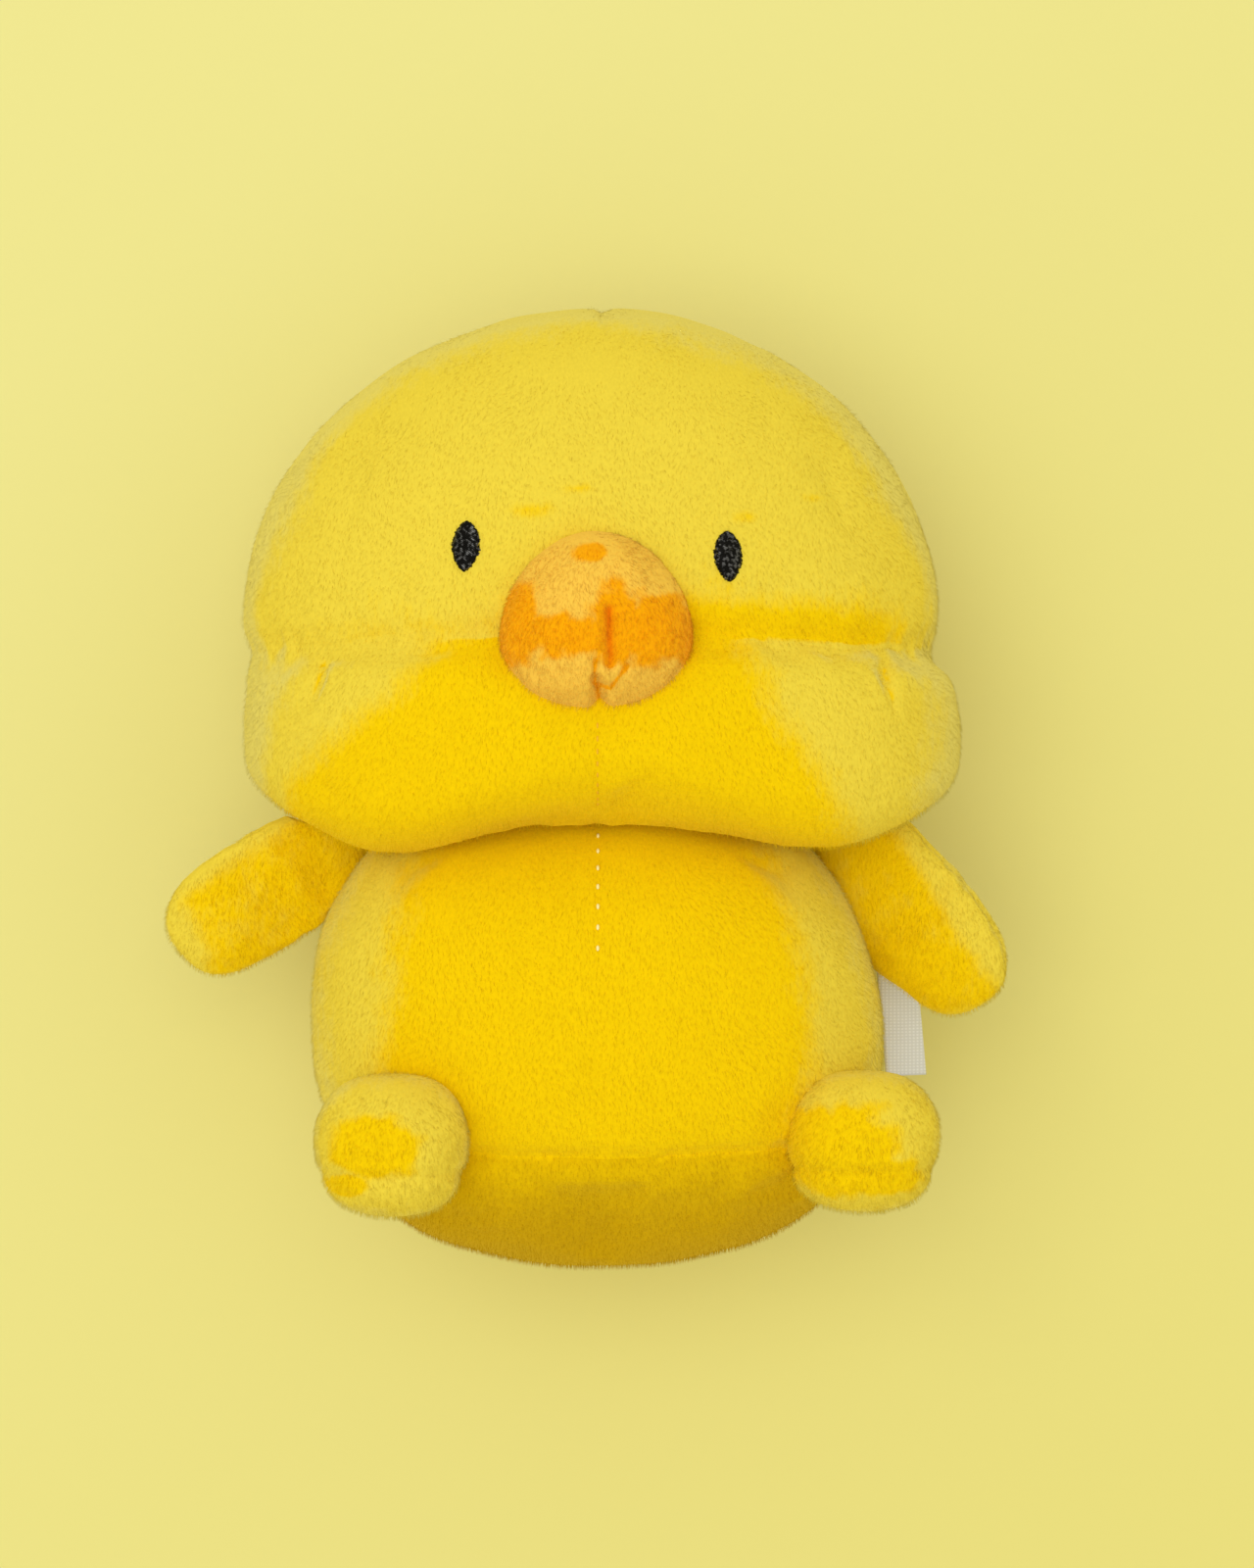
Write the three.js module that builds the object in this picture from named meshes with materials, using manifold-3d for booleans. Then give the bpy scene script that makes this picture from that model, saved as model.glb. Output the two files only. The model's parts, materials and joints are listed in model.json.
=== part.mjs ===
// A plush chick: a stuffed dog toy of short-pile cloth, lying on its back with its face up.
// Sizes are in millimetres. +Z points out of the face, +Y towards the top of the head, and +X to
// the right as one looks down at the face. The origin is the middle of the body's back, on the table.
// Every stuffed form is a cloth cover, cut into sewn panels, round a filling of polyester fibre.
import * as THREE from "three";
import { mergeVertices } from "three/addons/utils/BufferGeometryUtils.js";
import Module from "manifold-3d";

const wasm = await Module();
wasm.setup();

// Cloth and sewing
const CLOTH = 2; // thickness of the cloth, its pile included
const SEAM_GAP = 0.3; // between the edges of two panels along their seam
const FILL_GAP = 0.3; // between a cover and its filling
const SEWN_GAP = 0.5; // between a sewn-on piece and the cloth that carries it
const PRESSED_FLAT = 0.5; // how far the back is pressed flat where the toy lies on it

// Body
const BODY_WIDTH = 108;
const BODY_HEIGHT = 91;
const BODY_DEPTH = 92;
const BODY_FULLNESS = 2.5; // 2 is an ellipsoid, more is boxier
const BODY_SEAM_BACK = 9; // the side seam lies this far behind the widest line
const BASE_SEAM_HEIGHT = 21.5; // height of the base seam above the body's lowest point, at the front
const BASE_SEAM_SLOPE = 9; // degrees by which the base panel falls away to the back
const SEAM_DRAWN = 1.3; // the base seam draws the edges of its panels in by this
const SEAM_DRAWN_WIDTH = 3; // on either side of the seam

// Head: a domed crown on a wider band of cheeks
const CROWN_WIDTH = 132;
const CROWN_LEAN = 1.2; // its left half is wider than its right half by twice this
const CROWN_TOP = 59; // from the widest line of the crown up to its top
const CROWN_BELOW = 90; // the curve from the widest line down, which ends inside the cheeks
const CROWN_DEPTH = 99;
const CROWN_OUTLINE = 1.95; // fullness of the outline seen from the front
const CROWN_FULLNESS = 2.2; // fullness from front to back
const CROWN_RISE = 22.5; // widest line of the crown above the middle of the cheeks
const CHEEK_WIDTH = 136;
const CHEEK_HEIGHT = 40;
const CHEEK_DEPTH = 102;
const CHEEK_PLAN = 2.4; // fullness of the band seen from above
const CHEEK_FULLNESS = 3.4; // fullness of the band's edge
const CHEEK_DRAWN = 0.22; // share by which the middle seam draws the front lower edge up
const CHEEK_DRAWN_WIDTH = 0.3; // share of the half width over which it does
const CHEEK_SEAM_RISE = 15; // seam between cheeks and crown, above the middle of the cheeks
const NECK_NEST = 12.5; // depth by which the body's top sits up in the head
const NECK_GAP = 1; // room for the head to turn on the body
const HEAD_TURN = 20; // degrees each way

// Face
const EYE_WIDTH = 4.8;
const EYE_HEIGHT = 8.8;
const EYE_SPREAD = 47; // between the middles of the eyes
const EYE_RISE = 33.5; // above the middle of the cheeks
const EYE_THREAD = 0.8; // thickness of the satin stitch
const BEAK_WIDTH = 36;
const BEAK_HEIGHT = 32;
const BEAK_PROUD = 13; // stands out of the face
const BEAK_SINK = 2; // its widest section lies this far inside the face
const BEAK_RISE = 19.5; // above the middle of the cheeks
const BEAK_DART = 0.8; // width of the sewn cleft in the lower half

// Wings, sewn to the body's sides under the cheeks
const WING_LENGTH = 44;
const WING_WIDTH = 22;
const WING_THICKNESS = 14;
const WING_TAPER = 0.18; // the tip is wider than the middle by this share, the root narrower
const WING_SEAT_DROP = 18.5; // middle of the sewn edge, below the top of the body
const WING_SEAT_FRONT = 3; // in front of the body's widest line
const WING_REACH = 12.5; // from the sewn edge to the wing's middle, along the wing
const WING_SHOULDER = 7.5; // from the sewn edge to the wing's middle, across the wing
const WING_FLAP = [-10, 30]; // degrees, back and forward
const LEFT_WING_DROOP = 36; // degrees below level
const LEFT_WING_LIFT = 8; // degrees forward of the body's side
const RIGHT_WING_DROOP = 56;
const RIGHT_WING_LIFT = 18;

// Feet, sewn to the front of the body
const FOOT_WIDTH = 28;
const FOOT_HEIGHT = 26;
const FOOT_LENGTH = 30;
const FOOT_PROUD = 9; // from the body's cloth to the foot's middle
const FOOT_SOLE_DROP = 3; // the sole seam lies this far below the foot's middle
const FOOT_SWING = 12; // degrees each way
const LEFT_FOOT_INSET = 16.5; // from the body's side to the middle of the foot
const RIGHT_FOOT_INSET = 7.5;
const FOOT_RISE = 25; // above the body's lowest point
const FOOT_SPLAY = 12; // degrees outwards

// Folded woven label, bare, in the body's right side seam
const LABEL_LENGTH = 26;
const LABEL_PROUD = 8.5;
const LABEL_TAPE = 0.35;
const LABEL_FOLD_GAP = 0.4; // between the two layers
const LABEL_RISE = 2; // middle of the label above the middle of the body
const LABEL_HANG = 15; // degrees back from level
const LABEL_SEAM_GAP = 0.6;

// Squeaker: a blow-moulded bulb with a reed plug in its neck, inside the body's filling
const BULB_DIAMETER = 36;
const BULB_HEIGHT = 26;
const BULB_WALL = 1.2;
const BULB_NECK_DIAMETER = 13;
const BULB_NECK_LENGTH = 7;
const PLUG_FLANGE = 1.5;
const PLUG_CLEARANCE = 0.3;
const REED_SLOT_WIDTH = 4;
const REED_SLOT_HEIGHT = 1.2;
const REED_THICKNESS = 0.4;

// Facets
const FINE = 24; // round the head and body
const MEDIUM = 14; // round the limbs and the beak
const LATHE_FACETS = 16;
const FAR = 400; // larger than the toy, for the blocks that cut panels apart

const plushYellow = new THREE.MeshStandardMaterial({ color: 0xf1cb0a, roughness: 0.95, metalness: 0 });
const beakOrange = new THREE.MeshStandardMaterial({ color: 0xf0a640, roughness: 0.95, metalness: 0 });
const eyeThread = new THREE.MeshStandardMaterial({ color: 0x16161a, roughness: 0.5, metalness: 0 });
const fibreFill = new THREE.MeshStandardMaterial({ color: 0xf4f2ec, roughness: 1, metalness: 0 });
const labelTape = new THREE.MeshStandardMaterial({ color: 0xdcdad6, roughness: 0.6, metalness: 0 });
const squeakerPlastic = new THREE.MeshStandardMaterial({ color: 0xe9ecee, roughness: 0.4, metalness: 0 });

// Solids: closed geometry in, closed geometry out.
function solidOf(geometry) {
  const bare = geometry.clone();
  bare.deleteAttribute("normal");
  bare.deleteAttribute("uv");
  const merged = mergeVertices(bare, 1e-4);
  const vertProperties = merged.attributes.position.array;
  return new wasm.Manifold(
    new wasm.Mesh({ numProp: 3, vertProperties, triVerts: new Uint32Array(merged.index.array) }),
  );
}

function meshOf(name, solid, material) {
  const bodies = solid.decompose();
  const largest = bodies.reduce((a, b) => (b.volume() > a.volume() ? b : a));
  const made = largest.getMesh();
  const geometry = new THREE.BufferGeometry();
  geometry.setAttribute("position", new THREE.BufferAttribute(new Float32Array(made.vertProperties), 3));
  geometry.setIndex(new THREE.BufferAttribute(new Uint32Array(made.triVerts), 1));
  geometry.computeVertexNormals();
  const mesh = new THREE.Mesh(geometry, material);
  mesh.name = name;
  return mesh;
}

// A stuffed form: half sizes along X, Y and Z about a middle, `left` and `below` the half sizes towards
// -X and -Y, with `plan` the fullness of the section across axis `spin` and `edge` that along it.
// `taper` widens the +X end and narrows the other, and `drawn` pulls the front's lower edge up.
const inflated = (form, by) => ({
  ...form,
  half: form.half.map((h) => h + by),
  left: (form.left ?? form.half[0]) + by,
  below: (form.below ?? form.half[1]) + by,
});

function plump(form, around = FINE) {
  const geometry = new THREE.SphereGeometry(1, around, Math.round(around / 2));
  const { half, left = half[0], below = half[1], spin, plan, edge, taper = 0, drawn = 0 } = form;
  const [i, j] = [0, 1, 2].filter((k) => k !== spin);
  const place = geometry.attributes.position;
  for (let n = 0; n < place.count; n++) {
    const u = new THREE.Vector3().fromBufferAttribute(place, n);
    const part = u.toArray().map(Math.abs);
    const across = (part[i] ** plan + part[j] ** plan) ** (edge / plan);
    u.multiplyScalar((across + part[spin] ** edge) ** (-1 / edge));
    const swell = 1 + taper * u.x;
    const pull = drawn * Math.max(u.z, 0) * Math.exp(-((u.x / CHEEK_DRAWN_WIDTH) ** 2));
    const height = u.y < 0 ? below * (1 - pull) : half[1];
    const width = u.x < 0 ? left : half[0];
    place.setXYZ(n, u.x * width, u.y * height * swell, u.z * half[2] * swell);
  }
  return geometry.translate(...form.middle);
}

// Half width of the body's outline at a height above its middle.
const bodyHalfWidthAt = (y) =>
  (BODY_WIDTH / 2) * (1 - Math.abs(y / (BODY_HEIGHT / 2)) ** BODY_FULLNESS) ** (1 / BODY_FULLNESS);

// Height of a form's front above its middle, over a point of the form's outline.
function frontOf(form, x, y) {
  const { half, left = half[0], below = half[1], plan, edge } = form;
  const run = x - form.middle[0];
  const rise = y - form.middle[1];
  const dx = Math.abs(run / (run < 0 ? left : half[0]));
  const dy = Math.abs(rise / (rise < 0 ? below : half[1]));
  const across = (dx ** plan + dy ** plan) ** (edge / plan);
  return form.middle[2] + half[2] * (1 - across) ** (1 / edge);
}

// A block between two corners, for cutting panels apart.
function block(low, high) {
  const size = high.map((h, k) => h - low[k]);
  return new THREE.BoxGeometry(...size).translate(...low.map((l, k) => l + size[k] / 2));
}

const keep = (solid, low, high) => solid.intersect(solidOf(block(low, high)));

// Where things are
const bodyMiddleZ = BODY_DEPTH / 2 - PRESSED_FLAT;
const cheekMiddleY = BODY_HEIGHT / 2 - NECK_NEST + CHEEK_HEIGHT / 2;
const halfSeam = SEAM_GAP / 2;
const table = block([-FAR, -FAR, -FAR], [FAR, FAR, 0]);

const bodyForm = {
  middle: [0, 0, bodyMiddleZ],
  half: [BODY_WIDTH / 2, BODY_HEIGHT / 2, BODY_DEPTH / 2],
  spin: 2,
  plan: BODY_FULLNESS,
  edge: BODY_FULLNESS,
};

// The head's forms are about its own origin, which lies on the body's spine at the middle of the cheeks.
const headLift = CROWN_DEPTH / 2 - PRESSED_FLAT - bodyMiddleZ;
const crownForm = {
  middle: [0, CROWN_RISE, headLift],
  half: [CROWN_WIDTH / 2 - CROWN_LEAN, CROWN_TOP, CROWN_DEPTH / 2],
  left: CROWN_WIDTH / 2 + CROWN_LEAN,
  below: CROWN_BELOW,
  spin: 2,
  plan: CROWN_OUTLINE,
  edge: CROWN_FULLNESS,
};
const cheekForm = {
  middle: [0, 0, headLift + (CHEEK_DEPTH - CROWN_DEPTH) / 2],
  half: [CHEEK_WIDTH / 2, CHEEK_HEIGHT / 2, CHEEK_DEPTH / 2],
  spin: 1,
  plan: CHEEK_PLAN,
  edge: CHEEK_FULLNESS,
  drawn: CHEEK_DRAWN,
};
const turnAbout = (degrees) => new THREE.Matrix4().makeRotationY(THREE.MathUtils.degToRad(degrees));
const headTurns = [-HEAD_TURN, 0, HEAD_TURN];


// The crown stops at the middle of the cheeks, inside them.
function headSolid(by) {
  const crown = keep(solidOf(plump(inflated(crownForm, by))), [-FAR, 0, -FAR], [FAR, FAR, FAR]);
  return crown.add(solidOf(plump(inflated(cheekForm, by))));
}

// The toy, and the groups that move in it
const toy = new THREE.Group();
const body = new THREE.Group();
const head = new THREE.Group();
head.position.set(0, cheekMiddleY, bodyMiddleZ);
toy.add(body, head);

// Squeaker: the bulb's neck points down, to the base of the body.
const bulbNeckRadius = BULB_NECK_DIAMETER / 2;

function bulbProfile(grow, neckEnd) {
  const a = BULB_DIAMETER / 2 + grow;
  const b = BULB_HEIGHT / 2 + grow;
  const neck = bulbNeckRadius + grow;
  const start = Math.asin(neck / a);
  const dome = [];
  const steps = 10;
  for (let k = 0; k <= steps; k++) {
    const turn = start + ((Math.PI - start) * k) / steps;
    dome.push(new THREE.Vector2(a * Math.sin(turn), -b * Math.cos(turn)));
  }
  dome[steps].x = 0;
  return [new THREE.Vector2(neck, neckEnd), ...dome];
}

const neckMouth = -BULB_HEIGHT / 2 - BULB_NECK_LENGTH;
const latheOf = (points) => solidOf(new THREE.LatheGeometry(points, LATHE_FACETS));
const bulb = latheOf([...bulbProfile(-BULB_WALL, neckMouth).reverse(), ...bulbProfile(0, neckMouth)]);

const plugRadius = bulbNeckRadius - BULB_WALL - PLUG_CLEARANCE;
const flangeTop = neckMouth - PLUG_CLEARANCE;
const flangeBottom = flangeTop - PLUG_FLANGE;
const plugTop = neckMouth + BULB_NECK_LENGTH;
const slot = block(
  [-REED_SLOT_WIDTH / 2, -FAR, -REED_SLOT_HEIGHT / 2],
  [REED_SLOT_WIDTH / 2, FAR, REED_SLOT_HEIGHT / 2],
);
const plug = latheOf([
  new THREE.Vector2(0, flangeBottom),
  new THREE.Vector2(bulbNeckRadius, flangeBottom),
  new THREE.Vector2(bulbNeckRadius, flangeTop),
  new THREE.Vector2(plugRadius, flangeTop),
  new THREE.Vector2(plugRadius, plugTop),
  new THREE.Vector2(0, plugTop),
]);
const reedLow = -REED_SLOT_HEIGHT / 2 + PLUG_CLEARANCE;
const reed = block(
  [-REED_SLOT_WIDTH / 2 + PLUG_CLEARANCE, flangeBottom, reedLow],
  [REED_SLOT_WIDTH / 2 - PLUG_CLEARANCE, plugTop, reedLow + REED_THICKNESS],
);

const squeaker = new THREE.Group();
squeaker.position.set(0, 0, bodyMiddleZ);
squeaker.add(
  meshOf("squeaker_bulb", bulb, squeakerPlastic),
  meshOf("squeaker_plug", plug.subtract(solidOf(slot)), squeakerPlastic),
  meshOf("squeaker_reed", solidOf(reed), squeakerPlastic),
);
body.add(squeaker);

// Body: two front panels with a seam down the middle, a back panel, a base panel, and the filling,
// which holds a pocket for the squeaker with its mouth at the base.
const sideSeamZ = bodyMiddleZ - BODY_SEAM_BACK;
const baseSeam = new THREE.Matrix4()
  .makeTranslation(0, BASE_SEAM_HEIGHT - BODY_HEIGHT / 2, bodyMiddleZ + BODY_DEPTH / 2)
  .multiply(new THREE.Matrix4().makeRotationX(THREE.MathUtils.degToRad(BASE_SEAM_SLOPE)));
const aboveBase = solidOf(block([-FAR, halfSeam, -FAR], [FAR, FAR, FAR]).applyMatrix4(baseSeam));
const belowBase = solidOf(block([-FAR, -FAR, -FAR], [FAR, -halfSeam, FAR]).applyMatrix4(baseSeam));
const seamBand = block([-FAR, -SEAM_DRAWN_WIDTH, -FAR], [FAR, SEAM_DRAWN_WIDTH, FAR]).applyMatrix4(baseSeam);
const drawnAway = solidOf(seamBand).subtract(solidOf(plump(inflated(bodyForm, -SEAM_DRAWN))));
const bodyCover = solidOf(plump(bodyForm))
  .subtract(solidOf(plump(inflated(bodyForm, -CLOTH))))
  .subtract(drawnAway)
  .subtract(solidOf(table));
const bodySides = bodyCover.intersect(aboveBase);
const bodyFront = keep(bodySides, [-FAR, -FAR, sideSeamZ + halfSeam], [FAR, FAR, FAR]);
const pocketFloor = new THREE.Vector2(0, -BODY_HEIGHT);
const pocket = latheOf([pocketFloor, ...bulbProfile(FILL_GAP, -BODY_HEIGHT)]).translate([0, 0, bodyMiddleZ]);
const bodyFilling = solidOf(plump(inflated(bodyForm, -CLOTH - FILL_GAP))).subtract(pocket);
body.add(
  meshOf("body_front_left", keep(bodyFront, [-FAR, -FAR, -FAR], [-halfSeam, FAR, FAR]), plushYellow),
  meshOf("body_front_right", keep(bodyFront, [halfSeam, -FAR, -FAR], [FAR, FAR, FAR]), plushYellow),
  meshOf("body_back", keep(bodySides, [-FAR, -FAR, -FAR], [FAR, FAR, sideSeamZ - halfSeam]), plushYellow),
  meshOf("base_panel", bodyCover.intersect(belowBase), plushYellow),
  meshOf("body_filling", bodyFilling, fibreFill),
);

// Head: crown and cheeks, open below where the body's top sits in it, with room to turn.
const neckForm = { ...inflated(bodyForm, NECK_GAP), middle: [0, -cheekMiddleY, 0] };
const neck = headTurns
  .map((turn) => solidOf(plump(neckForm).applyMatrix4(turnAbout(turn))))
  .reduce((a, b) => a.add(b));
const headTable = solidOf(table.clone().translate(0, 0, -bodyMiddleZ));
const headCover = headSolid(0).subtract(headSolid(-CLOTH)).subtract(neck).subtract(headTable);
const crownLow = CHEEK_SEAM_RISE + halfSeam;
const cheekHigh = CHEEK_SEAM_RISE - halfSeam;
const frontLow = headLift + halfSeam;
const backHigh = headLift - halfSeam;
head.add(
  meshOf("crown_front", keep(headCover, [-FAR, crownLow, frontLow], [FAR, FAR, FAR]), plushYellow),
  meshOf("crown_back", keep(headCover, [-FAR, crownLow, -FAR], [FAR, FAR, backHigh]), plushYellow),
  meshOf("cheek_left", keep(headCover, [-FAR, -FAR, frontLow], [-halfSeam, cheekHigh, FAR]), plushYellow),
  meshOf("cheek_right", keep(headCover, [halfSeam, -FAR, frontLow], [FAR, cheekHigh, FAR]), plushYellow),
  meshOf("nape", keep(headCover, [-FAR, -FAR, -FAR], [FAR, cheekHigh, backHigh]), plushYellow),
  meshOf("head_filling", headSolid(-CLOTH - FILL_GAP).subtract(neck), fibreFill),
);

// Eyes: satin stitch on the crown.
const eyeLayer = solidOf(plump(inflated(crownForm, SEAM_GAP + EYE_THREAD)))
  .subtract(solidOf(plump(inflated(crownForm, SEAM_GAP))));

function eyeOf(side, name) {
  const outline = new THREE.Shape();
  outline.absellipse((side * EYE_SPREAD) / 2, EYE_RISE, EYE_WIDTH / 2, EYE_HEIGHT / 2, 0, 2 * Math.PI);
  const column = new THREE.ExtrudeGeometry(outline, { depth: FAR, bevelEnabled: false, curveSegments: 8 });
  return meshOf(name, eyeLayer.intersect(solidOf(column)), eyeThread);
}

head.add(eyeOf(-1, "eye_left"), eyeOf(1, "eye_right"));

// Beak: a stuffed cap sewn to the face, with a dart that splits its lower half.
const beakForm = {
  middle: [0, BEAK_RISE, frontOf(crownForm, 0, BEAK_RISE) - BEAK_SINK],
  half: [BEAK_WIDTH / 2, BEAK_HEIGHT / 2, BEAK_PROUD + BEAK_SINK],
  spin: 2,
  plan: 2.3,
  edge: 2.2,
};
const face = headSolid(SEWN_GAP);
const dart = solidOf(block([-BEAK_DART / 2, -FAR, -FAR], [BEAK_DART / 2, BEAK_RISE, FAR]));
const beakCover = solidOf(plump(beakForm, MEDIUM))
  .subtract(solidOf(plump(inflated(beakForm, -CLOTH), MEDIUM)))
  .subtract(face)
  .subtract(dart);
const beakFilling = solidOf(plump(inflated(beakForm, -CLOTH - FILL_GAP), MEDIUM)).subtract(face);
head.add(meshOf("beak_cover", beakCover, beakOrange), meshOf("beak_filling", beakFilling, fibreFill));

// What a limb must clear: the body and the cheeks, seen from the limb at each end of its swing.
function clearedBy(limb, angles, placeAt, cheeksToo) {
  const bodyRoom = plump(inflated(bodyForm, SEWN_GAP));
  const cheekRoom = plump(inflated(cheekForm, SEWN_GAP));
  let left = limb;
  for (const angle of angles) {
    const back = placeAt(angle).invert();
    left = left.subtract(solidOf(bodyRoom.clone().applyMatrix4(back)));
    for (const turn of cheeksToo ? headTurns : []) {
      const turned = new THREE.Matrix4().makeTranslation(head.position).multiply(turnAbout(turn));
      left = left.subtract(solidOf(cheekRoom.clone().applyMatrix4(turned).applyMatrix4(back)));
    }
  }
  return left;
}

// A limb's cover and filling, cut clear of what it is sewn to.
function coverAndFilling(form, angles, placeAt, cheeksToo) {
  const outside = solidOf(plump(form, MEDIUM));
  const inside = solidOf(plump(inflated(form, -CLOTH), MEDIUM));
  const fill = solidOf(plump(inflated(form, -CLOTH - FILL_GAP), MEDIUM));
  return [outside.subtract(inside), fill].map((s) => clearedBy(s, angles, placeAt, cheeksToo));
}

// Wings: each turns about its sewn edge, which follows the body's outline.
function wingOf(side, name, droop, lift) {
  const seatY = BODY_HEIGHT / 2 - WING_SEAT_DROP;
  const seatX = bodyHalfWidthAt(seatY);
  const rise = (seatY / (BODY_HEIGHT / 2)) ** (BODY_FULLNESS - 1) / (BODY_HEIGHT / 2);
  const run = (seatX / (BODY_WIDTH / 2)) ** (BODY_FULLNESS - 1) / (BODY_WIDTH / 2);
  const sewnEdge = new THREE.Vector3(rise, -side * run, 0).normalize();
  const placeAt = (flap) =>
    new THREE.Matrix4()
      .makeTranslation(side * seatX, seatY, bodyMiddleZ + WING_SEAT_FRONT)
      .multiply(new THREE.Matrix4().makeRotationAxis(sewnEdge, THREE.MathUtils.degToRad(lift + flap)))
      .multiply(new THREE.Matrix4().makeRotationZ(THREE.MathUtils.degToRad(-side * droop)));
  const form = {
    middle: [side * WING_REACH, WING_SHOULDER, 0],
    half: [WING_LENGTH / 2, WING_WIDTH / 2, WING_THICKNESS / 2],
    taper: side * WING_TAPER,
    spin: 2,
    plan: 2.5,
    edge: 2.2,
  };
  const angles = [WING_FLAP[0], 0, WING_FLAP[1]];
  const [cover, filling] = coverAndFilling(form, angles, placeAt, true);
  const wing = new THREE.Group();
  wing.applyMatrix4(placeAt(0));
  wing.add(
    meshOf(`${name}_front`, keep(cover, [-FAR, -FAR, halfSeam], [FAR, FAR, FAR]), plushYellow),
    meshOf(`${name}_back`, keep(cover, [-FAR, -FAR, -FAR], [FAR, FAR, -halfSeam]), plushYellow),
    meshOf(`${name}_filling`, filling, fibreFill),
  );
  return wing;
}

toy.add(
  wingOf(-1, "wing_left", LEFT_WING_DROOP, LEFT_WING_LIFT),
  wingOf(1, "wing_right", RIGHT_WING_DROOP, RIGHT_WING_LIFT),
);

// Feet: each swings up and down on its seam.
function footOf(side, name, inset) {
  const seatX = BODY_WIDTH / 2 - inset;
  const seatY = FOOT_RISE - BODY_HEIGHT / 2;
  const seatZ = frontOf(bodyForm, seatX, seatY);
  const placeAt = (swing) =>
    new THREE.Matrix4()
      .makeTranslation(side * seatX, seatY, seatZ)
      .multiply(new THREE.Matrix4().makeRotationX(THREE.MathUtils.degToRad(swing)))
      .multiply(new THREE.Matrix4().makeRotationY(THREE.MathUtils.degToRad(side * FOOT_SPLAY)));
  const form = {
    middle: [0, 0, FOOT_PROUD],
    half: [FOOT_WIDTH / 2, FOOT_HEIGHT / 2, FOOT_LENGTH / 2],
    spin: 2,
    plan: 2.4,
    edge: 2.2,
  };
  const [cover, filling] = coverAndFilling(form, [-FOOT_SWING, 0, FOOT_SWING], placeAt, false);
  const foot = new THREE.Group();
  foot.applyMatrix4(placeAt(0));
  const soleSeam = -FOOT_SOLE_DROP;
  foot.add(
    meshOf(`${name}_top`, keep(cover, [-FAR, soleSeam + halfSeam, -FAR], [FAR, FAR, FAR]), plushYellow),
    meshOf(`${name}_sole`, keep(cover, [-FAR, -FAR, -FAR], [FAR, soleSeam - halfSeam, FAR]), plushYellow),
    meshOf(`${name}_filling`, filling, fibreFill),
  );
  return foot;
}

toy.add(footOf(-1, "foot_left", LEFT_FOOT_INSET), footOf(1, "foot_right", RIGHT_FOOT_INSET));

// Label: one tape folded over on itself, both ends in the seam.
function labelOf() {
  const outer = LABEL_TAPE + LABEL_FOLD_GAP / 2;
  const inner = LABEL_FOLD_GAP / 2;
  const bend = LABEL_PROUD - outer;
  const section = new THREE.Shape();
  section.moveTo(0, inner);
  section.lineTo(bend, inner);
  section.absarc(bend, 0, inner, Math.PI / 2, -Math.PI / 2, true);
  section.lineTo(0, -inner);
  section.lineTo(0, -outer);
  section.lineTo(bend, -outer);
  section.absarc(bend, 0, outer, -Math.PI / 2, Math.PI / 2, false);
  section.lineTo(0, outer);
  section.closePath();
  const along = { depth: LABEL_LENGTH, bevelEnabled: false, curveSegments: 5 };
  const tape = new THREE.ExtrudeGeometry(section, along);
  tape.rotateX(-Math.PI / 2).translate(0, -LABEL_LENGTH / 2, 0);
  return meshOf("side_label", solidOf(tape), labelTape);
}

const seamFullness = (1 - (BODY_SEAM_BACK / (BODY_DEPTH / 2)) ** BODY_FULLNESS) ** (1 / BODY_FULLNESS);
const label = new THREE.Group();
label.position.set((BODY_WIDTH / 2) * seamFullness + LABEL_SEAM_GAP, LABEL_RISE, sideSeamZ);
label.rotation.y = THREE.MathUtils.degToRad(LABEL_HANG);
label.add(labelOf());
toy.add(label);

export default toy;
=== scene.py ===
# A plush chick, a stuffed dog toy of short-pile velvet cloth that lies on its back with its face up.
# Everything is in metres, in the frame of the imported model: +X right, +Y to the top of the head, +Z up.
import json
import math

import bmesh
import bpy
import numpy as np
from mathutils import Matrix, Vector, noise
from mathutils.bvhtree import BVHTree


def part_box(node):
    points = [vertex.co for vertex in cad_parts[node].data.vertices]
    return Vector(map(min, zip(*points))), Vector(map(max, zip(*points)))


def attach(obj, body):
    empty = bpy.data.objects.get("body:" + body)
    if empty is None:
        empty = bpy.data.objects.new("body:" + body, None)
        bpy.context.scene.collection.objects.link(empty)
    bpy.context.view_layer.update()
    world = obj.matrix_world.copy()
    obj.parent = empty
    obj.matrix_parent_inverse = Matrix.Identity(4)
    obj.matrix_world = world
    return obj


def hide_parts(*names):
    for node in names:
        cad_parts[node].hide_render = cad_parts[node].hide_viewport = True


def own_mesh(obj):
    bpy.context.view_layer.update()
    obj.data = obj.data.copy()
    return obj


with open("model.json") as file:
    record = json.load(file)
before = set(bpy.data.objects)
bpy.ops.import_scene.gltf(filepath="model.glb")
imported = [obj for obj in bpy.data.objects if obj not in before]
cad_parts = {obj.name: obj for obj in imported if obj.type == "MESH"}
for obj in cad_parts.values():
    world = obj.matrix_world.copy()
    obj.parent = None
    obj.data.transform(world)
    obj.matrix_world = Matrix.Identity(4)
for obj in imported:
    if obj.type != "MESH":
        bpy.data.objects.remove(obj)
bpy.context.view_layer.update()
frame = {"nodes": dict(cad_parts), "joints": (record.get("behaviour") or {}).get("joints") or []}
MM = 0.001

# Floor, light and camera
# The toy lies on a smooth pale yellow sheet under one broad soft light, and is seen from straight above,
# so the camera looks down on it from a metre away. The sheet carries a painted fall-off of the light:
# it is painted lighter towards the upper left and darker towards the lower right.
PHOTO_WIDTH, PHOTO_HEIGHT = 1280, 1600
FOCAL_PIXELS = 5157
CAMERA_PLACE = (5.4 * MM, 44.6 * MM, 1000 * MM)
SENSOR = 36.0
FLOOR_HALF = 6.0
PAPER_FALLOFF_WAY, PAPER_FALLOFF_HALF = (0.6, -0.8, 0), 0.17


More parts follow.
